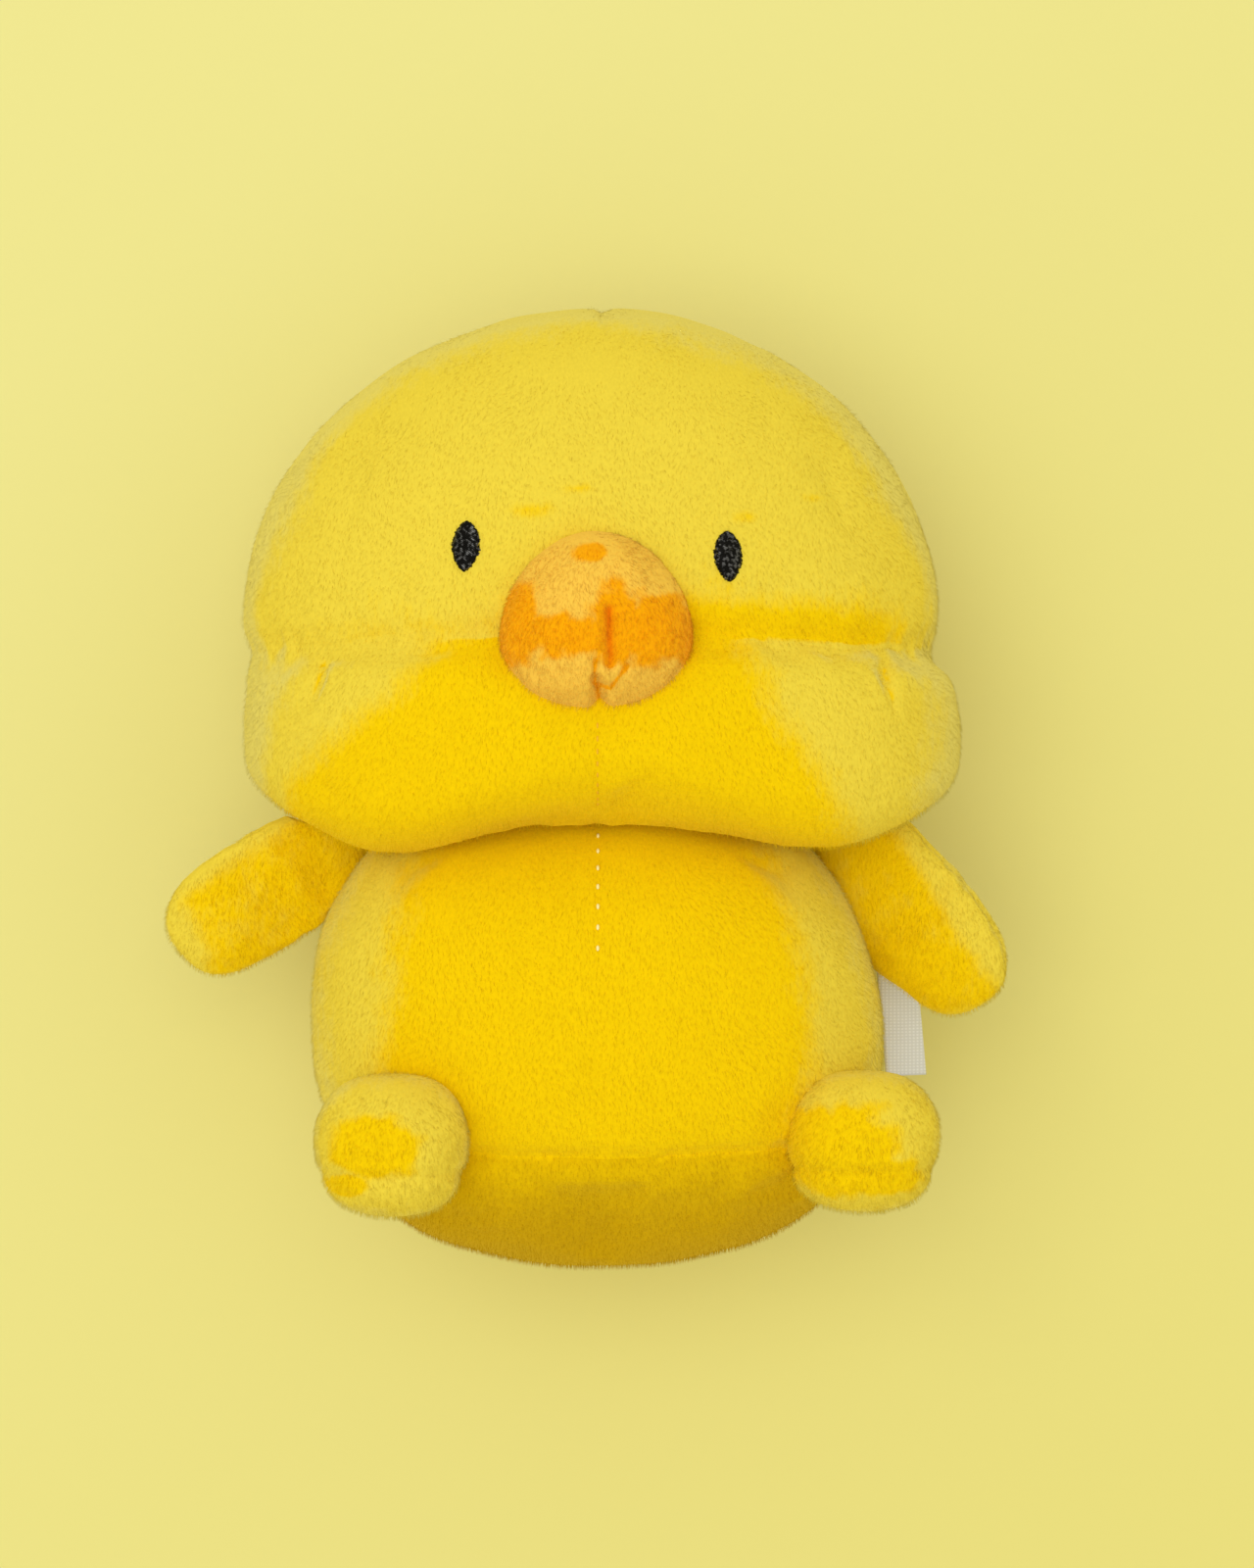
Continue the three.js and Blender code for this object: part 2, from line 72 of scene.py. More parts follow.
def srgb(red, green, blue):
    """A colour as the eye sees it, 0 to 255, as the linear colour that a shader takes."""
    part = np.array([red, green, blue]) / 255
    linear = np.where(part <= 0.04045, part / 12.92, ((part + 0.055) / 1.055) ** 2.4)
    return (*(float(c) for c in linear), 1.0)


def link_object(name, mesh):
    made = bpy.data.objects.new(name, mesh)
    bpy.context.scene.collection.objects.link(made)
    return made


def new_material(name):
    material = bpy.data.materials.new(name)
    material.use_nodes = True
    tree = material.node_tree
    return material, tree, tree.nodes["Principled BSDF"]


def put(tree, node, values):
    """Sets the inputs of a node, or links those whose value is another node or one of its outputs."""
    for key, value in values.items():
        if isinstance(value, bpy.types.Node):
            value = value.outputs[0]
        if isinstance(value, bpy.types.NodeSocket):
            tree.links.new(value, node.inputs[key])
        else:
            node.inputs[key].default_value = value


def add(tree, kind, values=None, **settings):
    """A new node of a tree, with its settings and inputs."""
    made = tree.nodes.new(kind)
    for key, value in settings.items():
        setattr(made, key, value)
    put(tree, made, values or {})
    return made


def own_place(tree):
    return add(tree, "ShaderNodeTexCoord").outputs["Object"]


def grain(tree, scale):
    """Plain noise on the piece's own place."""
    return add(tree, "ShaderNodeTexNoise", {"Scale": scale, "Vector": own_place(tree)}).outputs["Fac"]


def two_tone(tree, low, high, share):
    """A colour between two tones."""
    mix = add(tree, "ShaderNodeMix", {"Factor": share, "A": low, "B": high}, data_type="RGBA")
    return mix.outputs["Result"]


camera = link_object("camera", bpy.data.cameras.new("camera"))
camera.data.sensor_width = SENSOR
camera.data.lens = FOCAL_PIXELS / max(PHOTO_WIDTH, PHOTO_HEIGHT) * SENSOR
camera.location = CAMERA_PLACE
camera.data.clip_end = 20
bpy.context.scene.camera = camera
bpy.context.scene.view_settings.view_transform = "Standard"

paper, tree, shader = new_material("pale_yellow_paper")
# Painted light fall-off: the paper is painted lighter towards the upper left and darker towards the lower
# right.
across = add(tree, "ShaderNodeVectorMath", {0: own_place(tree), 1: PAPER_FALLOFF_WAY}, operation="DOT_PRODUCT")
painted_falloff = add(tree, "ShaderNodeMapRange", {
    "Value": across.outputs["Value"], "From Min": -PAPER_FALLOFF_HALF, "From Max": PAPER_FALLOFF_HALF})
painted_falloff_tone = two_tone(tree, srgb(233, 227, 147), srgb(229, 220, 128), painted_falloff)
put(tree, shader, {"Base Color": painted_falloff_tone, "Roughness": 0.85, "Specular IOR Level": 0.1})
floor_mesh = bpy.data.meshes.new("floor")
corners = [(-1, -1), (1, -1), (1, 1), (-1, 1)]
floor_mesh.from_pydata([(x * FLOOR_HALF, y * FLOOR_HALF, 0) for x, y in corners], [], [(0, 1, 2, 3)])
floor_mesh.materials.append(paper)
link_object("floor", floor_mesh)


def softbox(name, place, target, size, watts):
    """A square lamp that faces its target."""
    lamp = link_object(name, bpy.data.lights.new(name, "AREA"))
    lamp.data.size = size
    lamp.data.energy = watts
    lamp.location = place
    lamp.rotation_euler = (Vector(target) - Vector(place)).to_track_quat("-Z", "Y").to_euler()


softbox("overhead_softbox", (-0.26, 0.14, 1.55), (0, 0.05, 0.05), 1.0, 7.1)
world = bpy.data.worlds.new("studio")
world.use_nodes = True
sky = world.node_tree.nodes["Background"]
put(world.node_tree, sky, {"Color": srgb(255, 252, 240), "Strength": 0.83})
bpy.context.scene.world = world

# Body cover
# The body is a full, slightly boxy bag of velvet: two front panels joined down the belly, a back panel
# and a base panel, sewn inside out and turned, so that every seam draws in between two swelling edges.
BODY_FULLNESS = 2.5
SIDE_SEAM_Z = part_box("body_back")[1].z
PRESSED_FLAT = 0.5 * MM
SHOULDER_PACKED = 0.07
BASE_FRONT_Y = -24 * MM
BASE_SLOPE = 9
SEAM_DEPTH, SEAM_WIDTH = 1.3 * MM, 2.0 * MM
SEWN_WIDTH = 3 * MM
CLOTH = 1.2 * MM
NAP_NOISE = ((60, 1, 2, 0.5), (300, 0.7, 3, 0.45), (1300, 0.35, 2, 0.4))
NAP_BORDERS = ((-0.8, -0.15), (0.2, 0.8), (0.95, 2.6))


def heading(degrees):
    """A direction in a plane."""
    return np.array([math.cos(math.radians(degrees)), math.sin(math.radians(degrees))])


def ramp(value, low, high):
    t = np.clip((value - low) / (high - low), 0, 1)
    return t * t * (3 - 2 * t)


def bell(distance, width):
    return np.exp(-((distance / width) ** 2))


def span(*nodes):
    """Lowest and highest corner of some CAD nodes together."""
    boxes = [[np.array(corner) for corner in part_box(node)] for node in nodes]
    return np.min([b[0] for b in boxes], axis=0), np.max([b[1] for b in boxes], axis=0)


def gauge(points, form):
    """How far out in a stuffed form each point lies: 0 at its middle, 1 on its cloth."""
    q = (points - form["middle"]) / form["half"]
    q[:, 0] *= np.where(q[:, 0] < 0, form["half"][0] / form.get("left", form["half"][0]), 1)
    q[:, 1] *= np.where(q[:, 1] < 0, form["half"][1] / form.get("below", form["half"][1]), 1)
    swell = np.clip(1 + form.get("taper", 0) * q[:, 0], 0.3, None)
    q[:, 1:] /= swell[:, None]
    drawn = form.get("drawn", 0) * np.clip(q[:, 2], 0, 1) * bell(q[:, 0], 0.3)
    q[:, 1] /= np.where(q[:, 1] < 0, 1 - drawn, 1)
    part = np.abs(q)
    i, j = [k for k in range(3) if k != form["spin"]]
    across = (part[:, i] ** form["plan"] + part[:, j] ** form["plan"]) ** (form["edge"] / form["plan"])
    return (across + part[:, form["spin"]] ** form["edge"]) ** (1 / form["edge"])


def border_reach(inside, near, far, halvings):
    """Halves the way between a reach that is inside and one that is not, until both are at the border."""
    for _ in range(halvings):
        reach = (near + far) / 2
        within = inside(reach)
        near, far = np.where(within, reach, near), np.where(within, far, reach)
    return near, far


def skin(name, gauge_of, middle, half, cells):
    """A closed cover of even quads: each point goes out from the middle until it meets the cloth."""
    cover = bmesh.new()
    bmesh.ops.create_cube(cover, size=2)
    bmesh.ops.subdivide_edges(cover, edges=cover.edges[:], cuts=cells - 1, use_grid_fill=True)
    out = np.tan(np.array([v.co for v in cover.verts]) * math.pi / 4) * half
    out /= np.linalg.norm(out, axis=1)[:, None]
    near, _ = border_reach(lambda reach: gauge_of(middle + out * reach[:, None]) < 1,
                           np.zeros(len(out)), np.full(len(out), 4 * max(half)), 30)
    for vertex, place in zip(cover.verts, middle + out * near[:, None]):
        vertex.co = place
    bmesh.ops.recalc_face_normals(cover, faces=cover.faces[:])
    mesh = bpy.data.meshes.new(name)
    cover.to_mesh(mesh)
    cover.free()
    return link_object(name, mesh)


def rows_of(items, key):
    flat = np.empty(len(items) * 3, np.float32)
    items.foreach_get(key, flat)
    return flat.reshape(-1, 3).astype(float)


def places_of(made):
    return rows_of(made.data.vertices, "co")


def normals_of(made):
    return rows_of(made.data.vertex_normals, "vector")


def put_places(made, places):
    made.data.vertices.foreach_set("co", places.astype(np.float32).ravel())
    made.data.update()


def finished(made):
    """An object as its modifiers leave it."""
    return made.evaluated_get(bpy.context.evaluated_depsgraph_get())


def stuffed(cover, sewn, cap, slack, spare=0.03, pressure=4.0, frames=20):
    """The filling swells the cloth between its seams: it starts a little smaller, is blown up, held where
    it is sewn, and the spare cloth puckers there. No point moves further than the cap."""
    before = places_of(cover) - normals_of(cover) * slack
    put_places(cover, before)
    held = cover.vertex_groups.new(name="sewn")
    for index, weight in enumerate(sewn(before)):
        held.add([index], float(weight), "REPLACE")
    cloth = cover.modifiers.new("filling", "CLOTH")
    settings = dict(
        vertex_group_mass="sewn", use_pressure=True, uniform_pressure_force=pressure, shrink_min=-spare,
        tension_stiffness=25, compression_stiffness=25, bending_stiffness=0.3)
    for key, value in settings.items():
        setattr(cloth.settings, key, value)
    cloth.settings.effector_weights.gravity = 0
    cloth.point_cache.frame_start, cloth.point_cache.frame_end = 1, frames
    for step in range(1, frames + 1):
        bpy.context.scene.frame_set(step)
    move = places_of(finished(cover)) - before
    cover.modifiers.remove(cloth)
    cover.vertex_groups.clear()
    bpy.context.scene.frame_set(1)
    far = np.linalg.norm(move, axis=1)
    move *= (np.minimum(far, cap) / np.maximum(far, 1e-9))[:, None]
    put_places(cover, before + move)


def smoothed(cover, levels=1):
    """The cover with its quads divided and rounded, as a plain mesh."""
    rounding = cover.modifiers.new("rounding", "SUBSURF")
    rounding.levels = rounding.render_levels = levels
    mesh = bpy.data.meshes.new_from_object(finished(cover))
    cover.modifiers.remove(rounding)
    cover.data = mesh
    return cover


def cut_along(cover, planes):
    """Edges along each seam, so that two panels part on a clean line."""
    edited = bmesh.new()
    edited.from_mesh(cover.data)
    for point, normal in planes:
        parts = edited.verts[:] + edited.edges[:] + edited.faces[:]
        bmesh.ops.bisect_plane(edited, geom=parts, dist=1e-6, plane_co=point, plane_no=normal)
    bmesh.ops.remove_doubles(edited, verts=edited.verts[:], dist=0.3 * MM)
    edited.to_mesh(cover.data)
    edited.free()


def draw_in(cover, distance, depth=SEAM_DEPTH, width=SEAM_WIDTH):
    """Pulls the cloth in along its seams, with a pucker every few millimetres."""
    places, outward = places_of(cover), normals_of(cover)
    pucker = np.array([noise.noise(Vector(p) * 260) for p in places])
    away = distance(places) / width
    pull = depth * (0.85 * np.exp(-away ** 2) + 0.15 * np.exp(-3 * away)) * (1 + 0.5 * pucker)
    put_places(cover, places - outward * pull[:, None])


def lumps(cover, height, size):
    """The fibre inside shows through the cloth as faint lumps."""
    places, outward = places_of(cover), normals_of(cover)
    swell = np.array([noise.noise(Vector(p) / size) for p in places]) * height
    put_places(cover, places + outward * swell[:, None])


panel_number = {}


def part_panels(cover, panels):
    """Notes which panel each face of a cover belongs to, before the cloth is drawn about."""
    middles = np.array([face.center for face in cover.data.polygons])
    numbers = np.full(len(middles), -1)
    for node, chosen in panels.items():
        panel_number[node] = len(panel_number)
        numbers[chosen(middles)] = panel_number[node]
    cover.data.attributes.new("panel", "INT", "FACE").data.foreach_set("value", numbers)


def stand_for(made, body, node):
    """The piece rides on a body, in the place of a CAD node, which is hidden."""
    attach(made, body)
    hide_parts(node)


def panel(cover, node, body, nap, material, keep=None):
    """One sewn panel of a cover, with the lie of its pile and the cloth's thickness. What keep refuses
    is left out, such as cloth inside another part."""
    piece = bmesh.new()
    piece.from_mesh(cover.data)
    numbers = piece.faces.layers.int["panel"]
    middles = np.array([f.calc_center_median() for f in piece.faces])
    kept = keep(middles) if keep else np.ones(len(middles), bool)
    number = panel_number[node]
    left_out = [f for f, stays in zip(piece.faces[:], kept) if not stays or f[numbers] != number]
    bmesh.ops.delete(piece, geom=left_out, context="FACES")
    for edge in piece.edges:
        edge.smooth = not edge.is_boundary
    mesh = bpy.data.meshes.new(f"{node}_cloth")
    piece.to_mesh(mesh)
    piece.free()
    mesh.attributes.remove(mesh.attributes["panel"])
    mesh.materials.append(material)
    made = link_object(mesh.name, mesh)
    lie = mesh.attributes.new("nap", "FLOAT", "POINT")
    lie.data.foreach_set("value", nap(places_of(made), normals_of(made)).astype(np.float32))
    thickness = made.modifiers.new("cloth", "SOLIDIFY")
    thickness.thickness = CLOTH
    thickness.offset = -1
    stand_for(made, body, node)


def velvet(name, palest, pale, deep, dark, sheen):
    """Short pile: pale where it lies over, deep where one looks into it. The palest tone is mostly painted
    sheen, where the cloth turns away at the sides, and the dark tone is mostly painted shade, on the base
    turned from the light and in the creases of darts and folds. The nap runs -1, 0, 1, 2 through the tones,
    and patches, tufts and streaks make the borders between them ragged."""
    material, tree, shader = new_material(name)
    where = own_place(tree)
    total, half_swing = add(tree, "ShaderNodeAttribute", attribute_name="nap").outputs["Fac"], 0

    def rough(scale, stretch, detail):
        values = {0: where, 1: (1, stretch, stretch)}
        drawn_out = add(tree, "ShaderNodeVectorMath", values, operation="MULTIPLY")
        values = {"Scale": scale, "Detail": detail, "Vector": drawn_out}
        return add(tree, "ShaderNodeTexNoise", values).outputs["Fac"]

    for scale, stretch, detail, amount in NAP_NOISE:
        values = {0: rough(scale, stretch, detail), 1: amount, 2: total}
        total = add(tree, "ShaderNodeMath", values, operation="MULTIPLY_ADD")
        half_swing += amount / 2
    colour = palest
    for tone, (low, high) in zip((pale, deep, dark), NAP_BORDERS):
        values = {"Value": total, "From Min": low + half_swing, "From Max": high + half_swing}
        border = add(tree, "ShaderNodeMapRange", values, interpolation_type="SMOOTHSTEP")
        colour = two_tone(tree, colour, tone, border)
    fleck = add(tree, "ShaderNodeMapRange", {
        "Value": rough(2400, 0.5, 1), "From Min": 0.3, "From Max": 0.7, "To Min": 0.95, "To Max": 1.03})
    values = {0: colour, "Scale": fleck}
    flecked = add(tree, "ShaderNodeVectorMath", values, operation="SCALE")
    values = {"Height": rough(1700, 0.6, 2), "Strength": 0.3, "Distance": 0.4 * MM}
    bump = add(tree, "ShaderNodeBump", values)
    put(tree, shader, {
        "Base Color": flecked, "Normal": bump, "Roughness": 0.9, "Specular IOR Level": 0.05,
        "Sheen Weight": 0.25, "Sheen Roughness": 0.5, "Sheen Tint": sheen})
    return material


# Tones in turn: palest (mostly painted sheen), pale, deep, dark (painted shade), then the shader's sheen
# tint.
yellow_velvet = velvet(
    "yellow_velvet", srgb(229, 214, 112), srgb(236, 211, 66), srgb(242, 203, 0), srgb(202, 160, 0),
    srgb(255, 226, 90))

body_low, body_high = span("body_front_left", "body_front_right", "body_back", "base_panel")
body_half = (body_high - body_low) / 2
body_half[2] = (body_high[2] - body_low[2] + PRESSED_FLAT) / 2
body_middle = body_high - body_half
body_form = dict(middle=body_middle, half=body_half, spin=2, plan=BODY_FULLNESS, edge=BODY_FULLNESS)
base_point = Vector((0, BASE_FRONT_Y, body_high[2]))
base_normal = Vector((0, *heading(BASE_SLOPE)))


def body_gauge(points):
    """The body, packed a little slimmer towards its right shoulder."""
    y = points[:, 1] / MM
    packed = points.copy()
    packed[:, 0] /= np.where(points[:, 0] > 0, 1 - SHOULDER_PACKED * ramp(y, -5, 32), 1)
    return gauge(packed, body_form)


def above_base(points):
    return (points - np.array(base_point)) @ np.array(base_normal)


def body_seams(points):
    """Distance to the seams round the sides and the base of the body."""
    side = np.where(above_base(points) > -0.5 * MM, np.abs(points[:, 2] - SIDE_SEAM_Z), 1)
    return np.minimum(np.abs(above_base(points)), side)


def belly_seam(points):
    front = (above_base(points) > -0.5 * MM) & (points[:, 2] > SIDE_SEAM_Z)
    return np.where(front, np.abs(points[:, 0]), 1)


def lie_flat(cover):
    """The back rests on the floor: what would sink into it is pressed flat."""
    places = places_of(cover)
    places[:, 2] = np.maximum(places[:, 2], 0)
    put_places(cover, places)


body_cover = skin("body_cover", body_gauge, body_middle, body_half, 36)
stuffed(body_cover, lambda p: bell(body_seams(p), SEWN_WIDTH), cap=1.8 * MM, slack=MM, spare=0.015)
smoothed(body_cover)
cut_along(body_cover, [
    ((0, 0, 0), (1, 0, 0)), ((0, 0, SIDE_SEAM_Z), (0, 0, 1)), (base_point, base_normal)])
front = lambda m: (above_base(m) > 0) & (m[:, 2] > SIDE_SEAM_Z)
body_panels = {
    "body_front_left": lambda m: front(m) & (m[:, 0] < 0),
    "body_front_right": lambda m: front(m) & (m[:, 0] > 0),
    "body_back": lambda m: (above_base(m) > 0) & (m[:, 2] < SIDE_SEAM_Z),
    "base_panel": lambda m: above_base(m) < 0,
}
part_panels(body_cover, body_panels)
lumps(body_cover, 0.5 * MM, 14 * MM)
draw_in(body_cover, body_seams)
draw_in(body_cover, belly_seam, depth=0.2 * MM, width=1.8 * MM)
lie_flat(body_cover)


def painted_sheen_edge(outward):
    """1 where the cloth turns away to the side, 0 where it faces up: there painted sheen pales the pile."""
    return 1 - ramp(outward[:, 2], 0.1, 0.75)


def turning_under(lie, under, outward):
    """A lie of the pile that goes over to another one where the cloth turns under."""
    return lie + (under - lie) * ramp(-outward[:, 2], -0.1, 0.5)


def body_nap(points, outward):
    """Deep over the belly, pale round its sides, paler still with painted sheen where they turn away; the
    base darkens to its rim with painted shade, as it turns from the light.
    """
    x, y = points[:, 0] / body_half[0], points[:, 1] / body_half[1]
    belly = 1.1 - 1.15 * ramp(np.hypot(x / 0.98, (y + 0.1) / np.where(y > -0.1, 2.0, 1.2)), 0.52, 0.95)
    # Painted shade: the base, turned from the light, darkens towards its rim.
    base = 1.75 + 0.7 * ramp(-above_base(points), 0, 17 * MM) - 0.5 * ramp(np.abs(x), 0.6, 0.9)
    # Painted sheen pales the sides where they turn away.
    lie = np.where(above_base(points) < 0, base, belly - 0.5 * painted_sheen_edge(outward))
    return turning_under(lie, 0.3, outward)


for node in body_panels:
    panel(body_cover, node, "body", body_nap, yellow_velvet)

# Head cover
# The head is a dome of two crown panels over a wider band: a left and a right cheek, joined under the
# beak, and the nape behind. Short darts shape the cheeks and the top of the crown. Underneath it is
# dished, so that it turns on the body's round top.
CROWN_LEFT, CROWN_RIGHT = 67.2 * MM, 64.8 * MM
CROWN_TOP, CROWN_BELOW = 59 * MM, 90 * MM
CROWN_OUTLINE, CROWN_FULLNESS = 1.95, 2.2
CHEEK_HALF_HEIGHT, CHEEK_HALF_DEPTH = 20 * MM, 51 * MM
CHEEK_PLAN, CHEEK_FULLNESS, CHEEK_DRAWN = 2.4, 3.4, 0.22
HEAD_SEAM_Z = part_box("crown_back")[1].z
CHEEK_SEAM_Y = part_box("crown_front")[0].y
CHEEK_DARTS = (((-49.6, 66.5), (-53.0, 54.5)), ((52.0, 65.5), (55.5, 52.5)))
CROWN_DART = ((0.4, 136.0), (2.2, 124.0))
CHIN_SAG, CHEEK_POUCHES = 1.8, ((-39, 18, 4.0), (47, 19, 3.6))
NECK_ROOM = 1.03
FOREHEAD_MARKS = (
    (-11.5, 93.5, 5.0, 1.6), (-3.0, 97.5, 3.0, 1.2), (27.0, 92.5, 3.5, 1.5), (39.5, 96.5, 2.5, 1.2),
)

_, crown_high = span("crown_front", "crown_back")
crown_half = np.array([CROWN_RIGHT, CROWN_TOP, (crown_high[2] + PRESSED_FLAT) / 2])
crown_middle = np.array([0, crown_high[1] - CROWN_TOP, crown_high[2] - crown_half[2]])
crown_form = dict(middle=crown_middle, half=crown_half, left=CROWN_LEFT, below=CROWN_BELOW, spin=2,
                  plan=CROWN_OUTLINE, edge=CROWN_FULLNESS)
cheek_low, cheek_high = span("cheek_left", "cheek_right")
cheek_half = np.array([cheek_high[0] - 0.4 * MM, CHEEK_HALF_HEIGHT, CHEEK_HALF_DEPTH])
cheek_middle = np.array([MM, cheek_low[1] + CHEEK_HALF_HEIGHT, cheek_high[2] - CHEEK_HALF_DEPTH])
cheek_form = dict(middle=cheek_middle, half=cheek_half, spin=1, plan=CHEEK_PLAN, edge=CHEEK_FULLNESS,
                  drawn=CHEEK_DRAWN)


def head_gauge(points):
    """The crown and the cheeks, whose fronts sag into a pouch on either side of the chin."""
    x, y, z = (points / MM).T
    sag = CHIN_SAG * (1 - ramp(np.abs(x), 56, 70))
    for pouch_x, wide, deep in CHEEK_POUCHES:
        sag = sag + deep * bell(x - pouch_x, wide)
    pouched = points.copy()
    pouched[:, 1] += sag * ramp(z, 50, 80) * ramp(-y, -60, -45) * MM
    crown = gauge(points, crown_form) + 0.8 * ramp(-y, -62, -36)
    return np.minimum(crown, gauge(pouched, cheek_form))


def to_line(points, start, end):
    """Distance in the plane of the face to a line, and the share of the way along it."""
    a, b = np.array(start) * MM, np.array(end) * MM
    along = np.clip((points[:, :2] - a) @ (b - a) / ((b - a) @ (b - a)), 0, 1)
    return np.linalg.norm(points[:, :2] - a - along[:, None] * (b - a), axis=1), along


def head_seams(points):
    """Distance to the seam between crown and cheeks and the seam round the sides of the head."""
    return np.minimum(np.abs(points[:, 1] - CHEEK_SEAM_Y), np.abs(points[:, 2] - HEAD_SEAM_Z))


def chin_seam(points):
    front = (points[:, 1] < CHEEK_SEAM_Y) & (points[:, 2] > HEAD_SEAM_Z)
    return np.where(front, np.abs(points[:, 0]), 1)


def seam_rise(points):
    """How far the crown and cheek seam rises above its plane on the face, and wavers as it puckers."""
    x, y, z = (points / MM).T
    wave = np.array([noise.noise(Vector((p[0] / (7 * MM), p[2] / (7 * MM), 3))) for p in points])
    rise = 1.2 + 2.4 * bell(x, 38) + 0.9 * wave
    return rise * bell(y - CHEEK_SEAM_Y / MM, 9) * ramp(z, 30, 60) * MM


def head_darts(points):
    """Distance to the nearest dart, which grows towards the dart's end so that the fold runs out."""
    nearest = np.full(len(points), 1.0)
    for line in (*CHEEK_DARTS, CROWN_DART):
        away, along = to_line(points, *line)
        nearest = np.minimum(nearest, away + 4 * MM * along ** 3)
    return np.where(points[:, 2] > HEAD_SEAM_Z, nearest, 1)


joints = {joint["name"]: joint for joint in frame["joints"]}
head_pivot = np.array(joints["head_turn"]["pos_m"])
HEAD_TURNS = [*joints["head_turn"]["range_deg"], 0]


def turned(points, axis, degrees):
    """Points turned about an axis through the origin."""
    k = np.array(axis, float) / np.linalg.norm(axis)
    c, s = heading(degrees)
    return points * c + np.cross(k, points) * s + np.outer(points @ k, k) * (1 - c)


def as_head_turns(gauge_of, points):
    """How far out in a form points lie, at the nearest that the turning head brings them to it."""
    axis = joints["head_turn"]["axis"]
    seen = [gauge_of(turned(points - head_pivot, axis, turn) + head_pivot) for turn in HEAD_TURNS]
    return np.min(seen, axis=0)


def moved_clear(points, gauge_of, limit, along):
    """Points that a gauge puts within a limit moved along one direction until they are out of it."""
    _, far = border_reach(lambda reach: gauge_of(points + np.outer(reach, along)) < limit,
                          np.zeros(len(points)), np.where(gauge_of(points) < limit, 80 * MM, 0), 24)
    return points + np.outer(far, along)


in_body = lambda p: gauge(p, body_form)
head_middle = (crown_middle + cheek_middle) / 2
head_cover = skin("head_cover", head_gauge, head_middle, crown_half, 44)
stuffed(head_cover, lambda p: bell(head_seams(p), SEWN_WIDTH), cap=1.8 * MM, slack=MM, spare=0.008)
smoothed(head_cover)
cut_along(head_cover, [
    ((0, 0, 0), (1, 0, 0)), ((0, 0, HEAD_SEAM_Z), (0, 0, 1)), ((0, CHEEK_SEAM_Y, 0), (0, 1, 0))])
head_front = lambda m: m[:, 2] > HEAD_SEAM_Z
crown_part = lambda m: m[:, 1] > CHEEK_SEAM_Y
head_panels = {
    "crown_front": lambda m: head_front(m) & crown_part(m),
    "crown_back": lambda m: ~head_front(m) & crown_part(m),
    "cheek_left": lambda m: head_front(m) & ~crown_part(m) & (m[:, 0] < 0),
    "cheek_right": lambda m: head_front(m) & ~crown_part(m) & (m[:, 0] > 0),
    "nape": lambda m: ~head_front(m) & ~crown_part(m),
}
part_panels(head_cover, head_panels)
lumps(head_cover, 0.6 * MM, 16 * MM)
draw_in(head_cover, head_seams, depth=1.5 * MM, width=3.2 * MM)
draw_in(head_cover, chin_seam, depth=0.3 * MM, width=1.8 * MM)
head_places = places_of(head_cover)
head_places[:, 1] += seam_rise(head_places)
put_places(head_cover, head_places)
draw_in(head_cover, head_darts, depth=1.2 * MM, width=1.1 * MM)
dished = moved_clear(places_of(head_cover), lambda p: as_head_turns(in_body, p), NECK_ROOM, (0, 1, 0))
put_places(head_cover, dished)
lie_flat(head_cover)


def head_nap(points, outward):
    """Pale over the forehead, the tops and the sides of the cheeks; deep over their fronts and below. Painted
    sheen pales the cloth where it turns away, and painted shade darkens the creases of the darts.
    """
    x, y = points[:, 0] / MM, (points[:, 1] - seam_rise(points)) / MM
    seam = CHEEK_SEAM_Y / MM
    wide = np.abs(x - 1.5)
    brow = 0.42 * ramp(-y, -96, -72) - 0.12 * ramp(wide, 30, 60)
    above_seam = bell(y - seam - 2.5, 2.4)
    brow += (0.12 * above_seam - 0.2 * ramp(-y, -92, -74)) * ramp(-x, 12, 28)
    brow += 0.6 * bell(y - seam - 2, 5.5) * ramp(x, 10, 20) * (1 - ramp(x, 50, 64))
    pale_left = ramp(-0.61 * (x + 25.3) + 0.79 * (y - 70), -10, 9)
    pale_right = ramp(0.86 * (x - 24) + 0.51 * (y - 70), -9, 12)
    chin = 0.45 * ramp(seam - y, 24, 33) * (1 - ramp(wide, 16, 34))
    cheeks = 1.1 - 1.15 * np.maximum(pale_left, pale_right) + chin
    # Painted sheen where the cloth turns away at the sides.
    lie = np.where(y > seam, brow, cheeks) - painted_sheen_edge(outward) * ramp(y, 36, 46)
    for mark_x, mark_y, half_wide, half_tall in FOREHEAD_MARKS:
        lie += 0.6 * np.exp(-(((x - mark_x) / half_wide) ** 2) - ((y - mark_y) / half_tall) ** 2)
    # Painted shade in the creases of the darts.
    lie += 0.9 * bell(head_darts(points), 0.7 * MM)
    return turning_under(lie, 0.2, outward)


for node in head_panels:
    panel(head_cover, node, "head", head_nap, yellow_velvet)

# Wings
# Each wing is a flat stuffed mitten of two panels, sewn by its inner edge into the body's side under the
# cheek. The left one sticks out, the right one hangs further down and forward.
WING_HALF = np.array([22, 11, 7]) * MM
WING_MIDDLE = np.array([12.5, 7.5, 0]) * MM
WING_TAPER, WING_OUTLINE, WING_FULLNESS = 0.18, 2.5, 2.2
LIMB_SEWN_WIDTH, SEWN_INTO_BODY = 2 * MM, 0.9
WING_ROOM, WING_PRESSED = 1.03, 0.87
LEFT_WING_POSE = (36, 8)
RIGHT_WING_POSE = (56, 18)


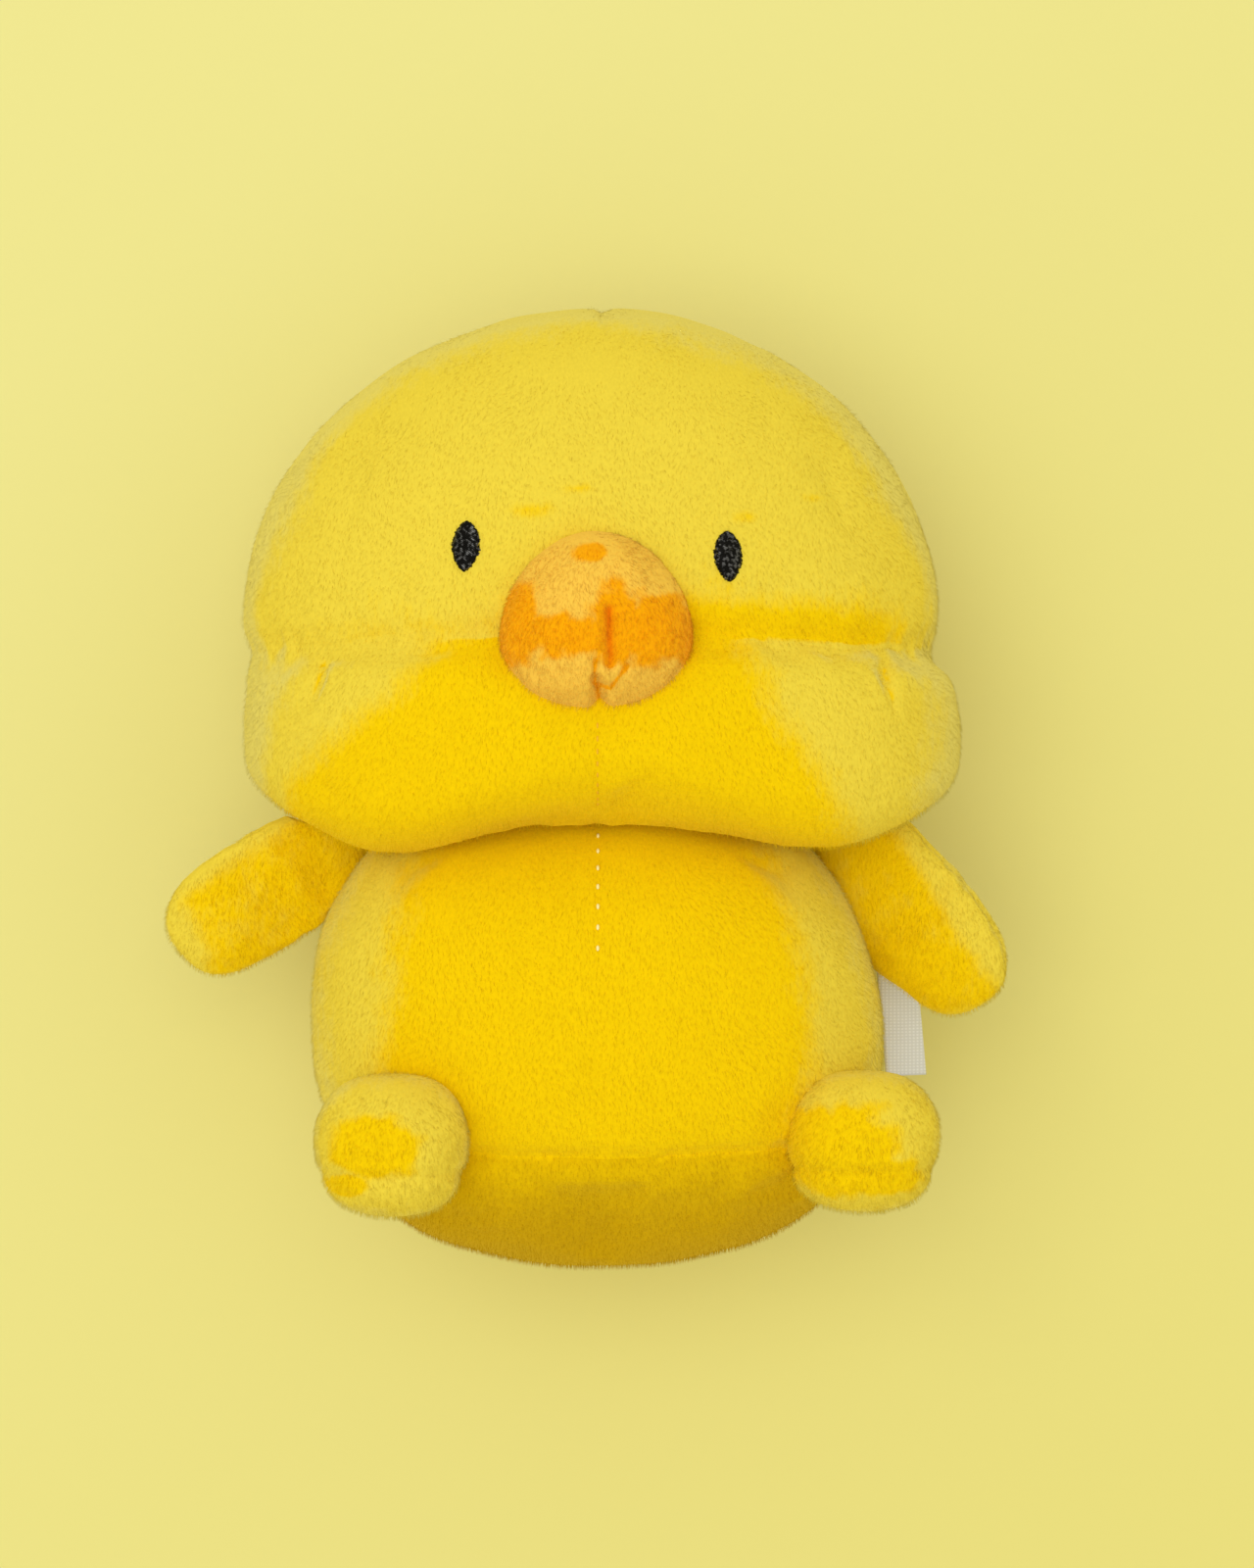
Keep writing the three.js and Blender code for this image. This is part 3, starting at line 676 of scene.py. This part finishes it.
def limb_cover(name, form, panels, axis, seam_at, cap, slack, lump, depth, width):
    """The stuffed cover of a limb, before it is hung: two panels on either side of one flat seam."""
    cover = skin(f"{name}_cover", lambda p: gauge(p, form), form["middle"], form["half"], 14)
    to_seam = lambda p: np.abs(p[:, axis] - seam_at)
    stuffed(cover, lambda p: bell(to_seam(p), LIMB_SEWN_WIDTH), cap=cap, slack=slack)
    smoothed(cover, 2)
    way = np.eye(3)[axis]
    cut_along(cover, [(tuple(way * seam_at), tuple(way))])
    upper = lambda m: m[:, axis] > seam_at
    part_panels(cover, dict(zip(panels, (upper, lambda m: ~upper(m)))))
    lumps(cover, lump, 8 * MM)
    draw_in(cover, to_seam, depth=depth, width=width)
    return cover


def wing(side, name, droop, lift, shoulder, pale_rim, pale_tip):
    joint = joints[f"{name}_flap"]
    middle = WING_MIDDLE * (side, 1, 1)
    form = dict(middle=middle, half=WING_HALF, taper=side * WING_TAPER, spin=2, plan=WING_OUTLINE,
                edge=WING_FULLNESS)
    panels = f"{name}_front", f"{name}_back"
    cover = limb_cover(name, form, panels, 2, 0, cap=1.6 * MM, slack=0.8 * MM, lump=0.35 * MM,
                       depth=0.45 * MM, width=1.2 * MM)
    flat = places_of(cover)
    root = 1 - ramp(side * flat[:, 0], -2 * MM, 27 * MM)
    root *= ramp((middle[1] - flat[:, 1]) / WING_HALF[1], 0, 1)
    flat[:, 1] -= shoulder * root
    flat[:, 0] -= side * shoulder / 2 * (1 - ramp(side * flat[:, 0], -9 * MM, 6 * MM))
    put_places(cover, flat)
    seat = np.array(joint["pos_m"])
    hung = lambda p: turned(turned(p, (0, 0, 1), -side * droop), joint["axis"], lift)
    tucked = np.array([0.3 * side, -0.954, 0])
    placed = lambda p: moved_clear(hung(p) + seat, head_gauge, WING_ROOM, tucked)
    put_places(cover, placed(places_of(cover)))
    outward_way, upward_way = hung(np.array([[side, 0, 0.0], [0, 1, 0]]))
    tip = seat + outward_way * 35 * MM + upward_way * 10 * MM

    def wing_nap(points, outward):
        """Deep, with a pale upper rim that on one wing broadens round the tip. The whole wing is kept a
        little paler than the belly, painted light against the shade of the cheek above it, and painted sheen
        pales it where it turns away.
        """
        to_tip = np.linalg.norm(points - tip, axis=1) / MM
        to_rim = ((points - seat) @ upward_way - middle[1]) / WING_HALF[1]
        at_tip = 1 - ramp(to_tip, 0.4 * pale_tip, pale_tip)
        rim = np.maximum(ramp(to_rim, pale_rim, pale_rim + 0.6), at_tip)
        # 0.72 keeps the wing a touch paler than the belly: painted light against the cheek's shade.
        lie = 0.72 - 0.85 * rim - 0.4 * painted_sheen_edge(outward)
        return turning_under(lie, 0.25, outward)

    for node in panels:
        panel(cover, node, name, wing_nap, yellow_velvet, keep=lambda m: in_body(m) > SEWN_INTO_BODY)
    hung_places = places_of(cover)
    lowest = hung_places[np.argmax(hung_places @ tucked)]
    return dict(cover=cover, form=form, panels=panels, placed=placed, along=outward_way, tucked=tucked,
                lowest=lowest)


wing_covers = {
    "wing_left": wing(-1, "wing_left", *LEFT_WING_POSE, 3 * MM, 0.5, 12),
    "wing_right": wing(1, "wing_right", *RIGHT_WING_POSE, 10 * MM, 0.25, 1),
}

# Feet
# Each foot is a stubby ball of two panels, a top and a sole, sewn to the front of the body and tipped
# outwards.
FOOT_HALF = np.array([14, 13, 15]) * MM
FOOT_OUTLINE, FOOT_FULLNESS = 2.4, 2.2
FOOT_PROUD = 9 * MM
LEFT_FOOT_SPLAY, RIGHT_FOOT_SPLAY = 3, 12
SOLE_DROP = 5 * MM
LEFT_TOE_PATCHES = ((-2.0, 0.5, 7.5, 5.5), (-8.0, -6.5, 4.5, 2.2))
RIGHT_TOE_PATCHES = ((-4.5, -1.0, 11.5, 8.5), (4.0, -5.5, 8.0, 3.5))


def foot(side, name, splay, patches):
    joint = joints[f"{name}_swing"]
    middle = np.array([0, 0, FOOT_PROUD])
    form = dict(middle=middle, half=FOOT_HALF, spin=2, plan=FOOT_OUTLINE, edge=FOOT_FULLNESS)
    panels = f"{name}_top", f"{name}_sole"
    cover = limb_cover(name, form, panels, 1, -SOLE_DROP, cap=1.1 * MM, slack=0.6 * MM, lump=0.4 * MM,
                       depth=0.5 * MM, width=1.3 * MM)
    seat = np.array(joint["pos_m"])
    placed = lambda p: turned(p, (0, 1, 0), splay) + seat
    put_places(cover, placed(places_of(cover)))

    def foot_nap(points, outward):
        """A deep patch at the toe, pale all round it and greyer under the sole, with painted sheen where the
        cloth turns away.
        """
        x, y = (points[:, 0] - seat[0]) / MM, (points[:, 1] - seat[1]) / MM
        ragged = np.array([noise.noise(Vector((u / 3, v / 3, side))) for u, v in zip(x, y)])
        away = np.min([np.hypot((x - u) / wide, (y - v) / tall) for u, v, wide, tall in patches], axis=0)
        lie = 1.15 - 1.2 * ramp(away + 0.3 * ragged, 0.5, 1.6) - 0.4 * painted_sheen_edge(outward)
        return turning_under(lie, 0.1, outward)

    for node in panels:
        panel(cover, node, name, foot_nap, yellow_velvet, keep=lambda m: in_body(m) > SEWN_INTO_BODY)
    outward_way = turned(np.array([[0, 0, 1.0]]), (0, 1, 0), splay)[0]
    return dict(cover=cover, form=form, panels=panels, placed=placed, along=outward_way)


foot_covers = {
    "foot_left": foot(-1, "foot_left", LEFT_FOOT_SPLAY, LEFT_TOE_PATCHES),
    "foot_right": foot(1, "foot_right", RIGHT_FOOT_SPLAY, RIGHT_TOE_PATCHES),
}

# Beak
# A round stuffed cap of peach velvet, sewn to the face over the cheek seam. A dart runs down its lower
# half and splits it into two lobes, with the spare cloth caught in a small fold; brushed the other way,
# the pile shows orange.
BEAK_SINK = 15 * MM
BEAK_WIDENING = 0.15
BEAK_DARTS = (((2.2, 75.4), (2.5, 65.6)), ((0.1, 62.4), (0.7, 56.5)))
FOLD_EDGES = (((-0.2, 66.4), (-0.4, 62.6)), ((-0.4, 62.6), (2.4, 61.5)), ((2.4, 61.5), (5.4, 65.4)))
FOLD_MIDDLE, FOLD_HALF = (2.5, 64.0), (2.6, 1.9)
ORANGE_PATCHES = (
    (-14.5, 73.0, 3.8, 6.5), (-6.0, 70.8, 8.0, 3.2), (3.2, 72.0, 3.8, 6.6),
    (10.5, 72.0, 8.0, 5.2), (16.5, 71.5, 3.0, 4.0), (-1.3, 85.6, 2.6, 1.5),
)
# Tones in turn: palest, pale, deep orange, dark orange (painted shade in the beak's creases), then the sheen
# tint.
peach_velvet = velvet(
    "peach_velvet", srgb(238, 194, 106), srgb(246, 198, 74), srgb(248, 170, 2), srgb(238, 124, 2),
    srgb(255, 215, 120))
beak_low, beak_high = span("beak_cover")
beak_middle = np.array([0, (beak_low[1] + beak_high[1]) / 2 + 0.8 * MM, beak_high[2] - BEAK_SINK])
beak_half = np.array([beak_high[0], (beak_high[1] - beak_low[1]) / 2 + 1.5 * MM, BEAK_SINK])
beak_form = dict(middle=beak_middle, half=beak_half, spin=2, plan=2.0, edge=2.2)


def beak_gauge(points):
    """A dome that widens downwards."""
    widened = points.copy()
    widened[:, 0] /= 1 - BEAK_WIDENING * (points[:, 1] - beak_middle[1]) / beak_half[1]
    return gauge(widened, beak_form)


beak = skin("beak", beak_gauge, beak_middle, beak_half, 18)
stuffed(beak, lambda p: (p[:, 2] < beak_low[2] + 2 * MM).astype(float), cap=1.3 * MM, slack=0.7 * MM)
smoothed(beak, 2)
part_panels(beak, {"beak_cover": lambda m: m[:, 2] > -1})
lumps(beak, 0.4 * MM, 7 * MM)


def to_lines(points, lines):
    return np.min([to_line(points, *line)[0] for line in lines], axis=0)


def in_fold(points):
    """1 in the middle of the caught fold, 0 outside it."""
    x, y = points[:, 0] / MM - FOLD_MIDDLE[0], points[:, 1] / MM - FOLD_MIDDLE[1]
    return 1 - ramp(np.hypot(x / FOLD_HALF[0], y / FOLD_HALF[1]), 0.3, 1.2)


beak_places = places_of(beak)
beak_places += normals_of(beak) * in_fold(beak_places)[:, None] * 0.7 * MM
put_places(beak, beak_places)
draw_in(beak, lambda p: to_lines(p, BEAK_DARTS), depth=1.4 * MM, width=1.3 * MM)
draw_in(beak, lambda p: to_lines(p, FOLD_EDGES), depth=0.5 * MM, width=0.7 * MM)


def beak_nap(points, outward):
    """Peach, with orange patches across the middle and at the top; dark in the dart and round the fold, which
    is painted shade in their creases.
    """
    x, y = points[:, 0] / MM, points[:, 1] / MM
    lie = np.zeros(len(points))
    for patch_x, patch_y, wide, tall in ORANGE_PATCHES:
        ragged = np.array([noise.noise(Vector((u / 2.2, v / 2.2, patch_x))) for u, v in zip(x, y)])
        away = np.hypot((x - patch_x) / wide, (y - patch_y) / tall) + 0.4 * ragged
        lie = np.maximum(lie, 1.15 - 1.15 * ramp(away, 0.3, 1.8))
    lie *= 1 - in_fold(points)
    # Painted shade in the creases of the darts and round the fold.
    lie += 1.0 * bell(to_line(points, *BEAK_DARTS[0])[0], 0.7 * MM)
    lie += 0.8 * bell(to_line(points, *BEAK_DARTS[1])[0], 0.5 * MM)
    return lie + 0.9 * bell(to_lines(points, FOLD_EDGES), 0.35 * MM)


panel(beak, "beak_cover", "head", beak_nap, peach_velvet, keep=lambda m: head_gauge(m) > 0.97)

# Eyes
# Two upright ovals of black embroidery: rows of shiny rayon thread laid close across the oval on a
# slant, over a first layer crossed the other way, each end taken down into the cloth.
EYE_TILT = {"eye_left": -4, "eye_right": 3}
EYE_SHIFT = {"eye_left": 0.7 * MM, "eye_right": -1.1 * MM}
EYE_POINTED = 0.34
THREAD_PITCH, THREAD_RADIUS = 0.31 * MM, 0.2 * MM
EYE_RISE = 0.75 * MM
EYE_LAYERS = ((35, 0.6), (-28, 1.0))

rayon, tree, shader = new_material("black_rayon_thread")
glint = add(tree, "ShaderNodeMapRange", {
    "Value": grain(tree, 1500), "From Min": 0.5, "From Max": 0.66, "To Min": 0.08, "To Max": 2.0})
put(tree, shader, {
    "Base Color": two_tone(tree, srgb(5, 5, 4), srgb(20, 18, 14), grain(tree, 2600)),
    "Specular IOR Level": glint, "Roughness": 0.25})


def tree_with(name, *sizes):
    """An empty Geometry Nodes tree with geometry in and out, and an input for each size."""
    tree = bpy.data.node_groups.new(name, "GeometryNodeTree")
    tree.interface.new_socket("Geometry", in_out="INPUT", socket_type="NodeSocketGeometry")
    for size in sizes:
        tree.interface.new_socket(size, in_out="INPUT", socket_type="NodeSocketFloat")
    tree.interface.new_socket("Finish", in_out="INPUT", socket_type="NodeSocketMaterial")
    tree.interface.new_socket("Geometry", in_out="OUTPUT", socket_type="NodeSocketGeometry")
    return tree, tree.nodes.new("NodeGroupInput"), tree.nodes.new("NodeGroupOutput")


def finish_tree(tree, inlet, outlet, geometry):
    """Makes the copies real and gives them their finish."""
    real = add(tree, "GeometryNodeRealizeInstances", {"Geometry": geometry})
    painted = add(tree, "GeometryNodeSetMaterial", {"Geometry": real, "Material": inlet.outputs["Finish"]})
    put(tree, outlet, {"Geometry": painted})


def grown(name, source, tree, **inputs):
    """The plain mesh that a tree makes from a source object, which is then removed."""
    growth = source.modifiers.new("growth", "NODES")
    growth.node_group = tree
    for item in tree.interface.items_tree:
        if item.in_out == "INPUT" and item.name in inputs:
            growth[item.identifier] = inputs[item.name]
    mesh = bpy.data.meshes.new_from_object(finished(source))
    bpy.data.objects.remove(source)
    mesh.name = name
    mesh.shade_smooth()
    return link_object(name, mesh)


def paths_object(name, paths):
    """Loose edges along some paths."""
    points = [tuple(point) for path in paths for point in path]
    edges, start = [], 0
    for path in paths:
        edges += [(start + k, start + k + 1) for k in range(len(path) - 1)]
        start += len(path)
    mesh = bpy.data.meshes.new(name)
    mesh.from_pydata(points, edges, [])
    return link_object(name, mesh)


def thread_tree():
    """A round thread along each path."""
    tree, inlet, outlet = tree_with("laid_thread", "Radius")
    path = add(tree, "GeometryNodeMeshToCurve", {"Mesh": inlet.outputs["Geometry"]})
    section = add(tree, "GeometryNodeCurvePrimitiveCircle", {
        "Resolution": 5, "Radius": inlet.outputs["Radius"]})
    thread = add(tree, "GeometryNodeCurveToMesh", {"Curve": path, "Profile Curve": section})
    finish_tree(tree, inlet, outlet, thread)
    return tree


def surface_of(cover):
    faces = [tuple(face.vertices) for face in cover.data.polygons]
    return BVHTree.FromPolygons(places_of(cover).tolist(), faces)


def on_face(surface, x, y, above):
    """The point of a cover seen from the front at x and y, and a height above it."""
    place, outward = surface.ray_cast(Vector((x, y, 0.3)), Vector((0, 0, -1)))[:2]
    return place + outward * above


head_surface = surface_of(head_cover)
laid_thread = thread_tree()
stray = np.random.default_rng(11)


def eye(node):
    low, high = (np.array(corner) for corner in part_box(node))
    middle, half = ((low + high) / 2)[:2] + (0, EYE_SHIFT[node]), ((high - low) / 2)[:2]
    side = heading(EYE_TILT[node])
    up = np.array([-side[1], side[0]])
    paths = []
    for slant, rise in EYE_LAYERS:
        along = heading(slant)
        across = np.array([-along[1], along[0]])
        edge = np.linalg.norm(across * half)
        for offset in np.arange(-edge, edge, THREAD_PITCH) + THREAD_PITCH / 2:
            a = np.sum((along / half) ** 2)
            b = np.sum(along * across / half ** 2) * offset
            c = np.sum((across / half) ** 2) * offset ** 2 - 1
            if b * b - a * c <= 0:
                continue
            reach = math.sqrt(b * b - a * c) / a
            start = -b / a - reach - stray.uniform(-0.1, 0.3) * MM
            end = -b / a + reach + stray.uniform(-0.1, 0.35) * MM
            path = []
            for t in np.linspace(0, 1, 8):
                u, v = along * (start + (end - start) * t) + across * offset
                drawn = 1 - EYE_POINTED * (v / half[1]) ** 2 * (1 if v < 0 else 0.5)
                x, y = middle + side * u * drawn + up * v
                dome = math.sqrt(max(0, 1 - (u / half[0]) ** 2 - (v / half[1]) ** 2))
                sunk = 0.4 * MM * (abs(2 * t - 1) > 0.99)
                path.append(on_face(head_surface, x, y, EYE_RISE * rise * (0.35 + 0.65 * dome) - sunk))
            paths.append(path)
    made = grown(f"{node}_embroidery", paths_object(node, paths), laid_thread,
                 Radius=THREAD_RADIUS, Finish=rayon)
    stand_for(made, "head", node)


for node in EYE_TILT:
    eye(node)

# Seam stitches
# The seam thread shows where a seam is pulled open: a row of small pale stitches down the upper belly,
# and tighter ones down the chin under the beak.
STITCH_X = 0.15 * MM
BELLY_STITCHES = dict(Pitch=3.6 * MM, Length=1.1 * MM, Radius=0.3 * MM)
CHIN_STITCHES = dict(Pitch=2.3 * MM, Length=1.1 * MM, Radius=0.18 * MM)


def seam_thread(name, low, high):
    """Soft spun thread of two tones."""
    material, tree, shader = new_material(name)
    put(tree, shader, {"Base Color": two_tone(tree, low, high, grain(tree, 3000)), "Roughness": 0.7})
    return material


pale_thread = seam_thread("pale_seam_thread", srgb(250, 232, 120), srgb(255, 247, 190))
amber_thread = seam_thread("amber_seam_thread", srgb(232, 172, 6), srgb(246, 198, 24))


def stitch_tree():
    """A short rounded stitch every pitch along a path."""
    tree, inlet, outlet = tree_with("seam_stitches", "Pitch", "Length", "Radius")
    given = inlet.outputs
    path = add(tree, "GeometryNodeMeshToCurve", {"Mesh": given["Geometry"]})
    values = {"Curve": path, "Length": given["Pitch"]}
    spaced = add(tree, "GeometryNodeResampleCurve", values, mode="LENGTH")
    stitch = add(tree, "GeometryNodeMeshUVSphere", {"Segments": 8, "Rings": 5, "Radius": 1})
    half_length = add(tree, "ShaderNodeMath", {0: given["Length"], 1: 0.5}, operation="MULTIPLY")
    size = add(tree, "ShaderNodeCombineXYZ", {"X": given["Radius"], "Y": given["Radius"], "Z": half_length})
    along = add(tree, "GeometryNodeInputTangent")
    aim = add(tree, "FunctionNodeAlignRotationToVector", {"Vector": along}, axis="Z")
    row = add(tree, "GeometryNodeInstanceOnPoints", {
        "Points": spaced, "Instance": stitch, "Rotation": aim, "Scale": size})
    finish_tree(tree, inlet, outlet, row)
    return tree


seam_stitches = stitch_tree()


def stitch_row(name, surface, ys, above, body, sizes):
    """A row of stitches down the middle of the toy."""
    path = [on_face(surface, STITCH_X, y * MM, above) for y in ys]
    row = grown(f"{name}_stitches", paths_object(name, [path]), seam_stitches, **sizes)
    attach(row, body)


stitch_row("belly", surface_of(body_cover), np.linspace(35, 15, 30), 0.25 * MM, "body",
           dict(Finish=pale_thread, **BELLY_STITCHES))
stitch_row("chin", head_surface, np.linspace(55, 41, 24), 0.05 * MM, "head",
           dict(Finish=amber_thread, **CHIN_STITCHES))

# Side label
# A blank folded tape of white woven satin, caught in the right side seam by its two cut edges. It hangs a
# little back and its fold curls.
LABEL_PROUD, LABEL_FOLD = 7.6 * MM, 0.45 * MM
LABEL_CURL, LABEL_LEAN = 1.6 * MM, 0.09
LABEL_FALL, LABEL_REACH, LABEL_CAUGHT = 0.27, 0.97, 0.6 * MM
LABEL_WAVE, LABEL_WAVE_RUN = 0.35 * MM, 4.2 * MM
TAPE = 0.22 * MM

satin, tree, shader = new_material("white_woven_tape")
where = own_place(tree)
ribs, picks = (
    add(tree, "ShaderNodeTexWave", {"Scale": scale, "Distortion": wavy, "Vector": where}, bands_direction=way)
    .outputs["Fac"] for scale, wavy, way in ((520, 0.6, "Y"), (420, 0.4, "X")))
weave = add(tree, "ShaderNodeMath", {0: ribs, 1: picks}, operation="MULTIPLY")
tape_bump = add(tree, "ShaderNodeBump", {"Height": weave, "Strength": 0.35, "Distance": 0.08 * MM})
put(tree, shader, {
    "Base Color": two_tone(tree, srgb(214, 214, 212), srgb(238, 238, 238), weave),
    "Normal": tape_bump, "Roughness": 0.55, "Sheen Weight": 0.1})

label_low, label_high = span("side_label")
label_seat = np.array(joints["label_flap"]["pos_m"])
out_run = [(t * LABEL_PROUD, LABEL_FOLD) for t in np.linspace(0, 1, 10)]
fold_run = [(LABEL_PROUD, 0) + LABEL_FOLD * heading(a) for a in np.linspace(90, -90, 7)[1:-1]]
section = out_run + fold_run + [(x, -z) for x, z in reversed(out_run)]
rows = np.linspace(label_low[1], label_high[1], 28)
tape_points = []
for y in rows:
    wave = LABEL_WAVE * math.sin((y - label_low[1]) / LABEL_WAVE_RUN)
    for out, rise in section:
        share = out / LABEL_PROUD
        drop = -LABEL_FALL * out - LABEL_CURL * share ** 2 + wave * share
        lean = LABEL_LEAN * (label_seat[1] - y)
        x = label_seat[0] - LABEL_CAUGHT + lean + out * LABEL_REACH
        tape_points.append((x, y, label_seat[2] + rise * (1 - 0.5 * share ** 6) + drop))
wide = len(section)
tape_faces = [
    (r * wide + k, r * wide + k + 1, (r + 1) * wide + k + 1, (r + 1) * wide + k)
    for r in range(len(rows) - 1) for k in range(wide - 1)
]
tape_mesh = bpy.data.meshes.new("side_label_tape")
tape_mesh.from_pydata(tape_points, [], [face[::-1] for face in tape_faces])
tape_mesh.materials.append(satin)
tape_mesh.shade_smooth()
label = link_object("side_label_tape", tape_mesh)
tape_body = label.modifiers.new("tape", "SOLIDIFY")
tape_body.thickness = TAPE
tape_body.offset = 0
stand_for(label, "label", "side_label")

# Filling
# Under the cloth each form is packed with loose white polyester fibre. What was blown up as the cover
# shrinks to the lump of fibre inside it, and yields where the body sits up in it.
FIBRE_SHARE = 0.92
FIBRE_UNDER, FIBRE_ROOM = 2.6 * MM, 1.06

fibre, tree, shader = new_material("polyester_fibre")
strands = add(tree, "ShaderNodeTexNoise", {"Scale": 700, "Distortion": 3, "Vector": own_place(tree)})
tangle = add(tree, "ShaderNodeBump", {
    "Height": strands.outputs["Fac"], "Strength": 0.8, "Distance": 0.6 * MM})
put(tree, shader, {"Base Color": srgb(243, 241, 234), "Normal": tangle, "Roughness": 0.95})


def filling(cover, node, body, gauge_of, middle, half, placed=None, pressed_by=None, along=(0, 1, 0)):
    """The fibre inside a cover: a smaller, lumpier form, clear of the cloth and of what presses into it."""
    fill = skin(f"{node}_fibre", lambda p: gauge_of(p) / FIBRE_SHARE, middle, half, 16)
    lumps(fill, 0.8 * MM, 6 * MM)
    places = places_of(fill)
    if placed:
        places = placed(places)
    if pressed_by:
        places = moved_clear(places, pressed_by, FIBRE_ROOM, along)
    cloth = surface_of(cover)
    for index, place in enumerate(places):
        near, outward = cloth.find_nearest(place)[:2]
        if (near - Vector(place)).dot(outward) < FIBRE_UNDER:
            places[index] = near - outward * FIBRE_UNDER
    put_places(fill, places)
    bpy.data.objects.remove(cover)
    fill.data.materials.append(fibre)
    fill.data.shade_smooth()
    stand_for(fill, body, node)


filling(body_cover, "body_filling", "body", body_gauge, body_middle, body_half)
filling(head_cover, "head_filling", "head", head_gauge, head_middle, crown_half, pressed_by=in_body)
filling(beak, "beak_filling", "head", beak_gauge, beak_middle, beak_half,
        pressed_by=head_gauge, along=(0, 0, 1))
for name, limb in (wing_covers | foot_covers).items():
    form = limb["form"]
    filling(limb["cover"], f"{name}_filling", name, lambda p: gauge(p, form), form["middle"], form["half"],
            limb["placed"], in_body, limb["along"])

# Squeaker
# A blown bulb of milky plastic with a reed in its neck, deep in the body's filling. Its shape is the CAD's.
milky, tree, shader = new_material("milky_squeaker_plastic")
milk = two_tone(tree, srgb(226, 230, 232), srgb(242, 243, 241), grain(tree, 120))
put(tree, shader, {"Base Color": milk, "Roughness": 0.35})
for node in ("squeaker_bulb", "squeaker_plug", "squeaker_reed"):
    squeaker = frame["nodes"][node]
    squeaker.data.materials.clear()
    squeaker.data.materials.append(milky)

# Pile
# The velvet's pile: short polyester fibres that stand out of every panel and lie over down the toy, brushed
# a little this way and that, so that the outline is soft and the surface streaky.
PILE_LENGTH, PILE_WIDTH, PILE_LEAN = 1.1 * MM, 0.11 * MM, 1.3
PILE_BRUSHED, PILE_LOOSE = 1.2, 0.35
PILE_DENSITY = {"body": 1.7e6, "head": 1.45e6, "wing": 3.0e6, "foot": 3.0e6, "beak": 4.5e6}


def pile_tree():
    """A thin fibre at each of many points of a surface, aimed along its normal and the lie of the pile."""
    tree, inlet, outlet = tree_with("velvet_pile", "Density", "Length", "Width", "Lean")
    given = inlet.outputs
    rooted = add(tree, "GeometryNodeDistributePointsOnFaces", {
        "Mesh": given["Geometry"], "Density": given["Density"], "Seed": 5})
    against = add(tree, "ShaderNodeMath", {0: given["Lean"], 1: -1}, operation="MULTIPLY")
    downwards = add(tree, "ShaderNodeCombineXYZ", {"Y": against})
    brushed = add(tree, "ShaderNodeTexNoise", {"Scale": 75, "Detail": 1})
    stroke = add(tree, "ShaderNodeVectorMath", operation="MULTIPLY_ADD", values={
        0: brushed.outputs["Color"], 1: (2 * PILE_BRUSHED,) * 3, 2: (-PILE_BRUSHED,) * 3})
    loose = add(tree, "FunctionNodeRandomValue", data_type="FLOAT_VECTOR", values={
        "Min": (-PILE_LOOSE,) * 3, "Max": (PILE_LOOSE,) * 3, "Seed": 2})
    aim = rooted.outputs["Normal"]
    for part in (downwards, stroke, loose.outputs["Value"]):
        aim = add(tree, "ShaderNodeVectorMath", {0: aim, 1: part})
    stand = add(tree, "FunctionNodeAlignRotationToVector", {"Vector": aim}, axis="Z")
    radius = add(tree, "ShaderNodeMath", {0: given["Width"], 1: 0.5}, operation="MULTIPLY")
    fibre_form = add(tree, "GeometryNodeMeshCone", fill_type="NONE", values={
        "Vertices": 3, "Radius Top": 0, "Radius Bottom": radius, "Depth": given["Length"]})
    uneven = add(tree, "FunctionNodeRandomValue", {"Min": 0.65, "Max": 1.1, "Seed": 3})
    planted = add(tree, "GeometryNodeInstanceOnPoints", {
        "Points": rooted, "Instance": fibre_form, "Rotation": stand, "Scale": uneven.outputs["Value"]})
    finish_tree(tree, inlet, outlet, planted)
    return tree


velvet_pile = pile_tree()


def pile(name, body, nodes, density, material, bare=None):
    """The pile of some panels as one mesh, save where they are bare, as inside the neck."""
    joined = bmesh.new()
    for node in nodes:
        joined.from_mesh(bpy.data.meshes[f"{node}_cloth"])
    if bare:
        worn = bare(np.array([face.calc_center_median() for face in joined.faces]))
        gone = [face for face, hidden in zip(joined.faces, worn) if hidden]
        bmesh.ops.delete(joined, geom=gone, context="FACES")
    ground = bpy.data.meshes.new(f"{name}_ground")
    joined.to_mesh(ground)
    joined.free()
    made = grown(f"{name}_pile", link_object(ground.name, ground), velvet_pile, Density=density,
                 Length=PILE_LENGTH, Width=PILE_WIDTH, Lean=PILE_LEAN, Finish=material)
    lie_flat(made)
    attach(made, body)


pile("body", "body", list(body_panels), PILE_DENSITY["body"], yellow_velvet)
in_neck = lambda m: as_head_turns(in_body, m) < NECK_ROOM + 0.01
pile("head", "head", list(head_panels), PILE_DENSITY["head"], yellow_velvet, bare=in_neck)
pile("beak", "head", ["beak_cover"], PILE_DENSITY["beak"], peach_velvet)
for name, limb in (wing_covers | foot_covers).items():
    pile(name, name, limb["panels"], PILE_DENSITY[name.split("_")[0]], yellow_velvet)

# Wings' own meshes
# Each piece of a wing is given a mesh of its own.
for name, limb in wing_covers.items():
    for piece in (f"{name}_front_cloth", f"{name}_back_cloth", f"{name}_filling_fibre", f"{name}_pile"):
        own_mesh(bpy.data.objects[piece])
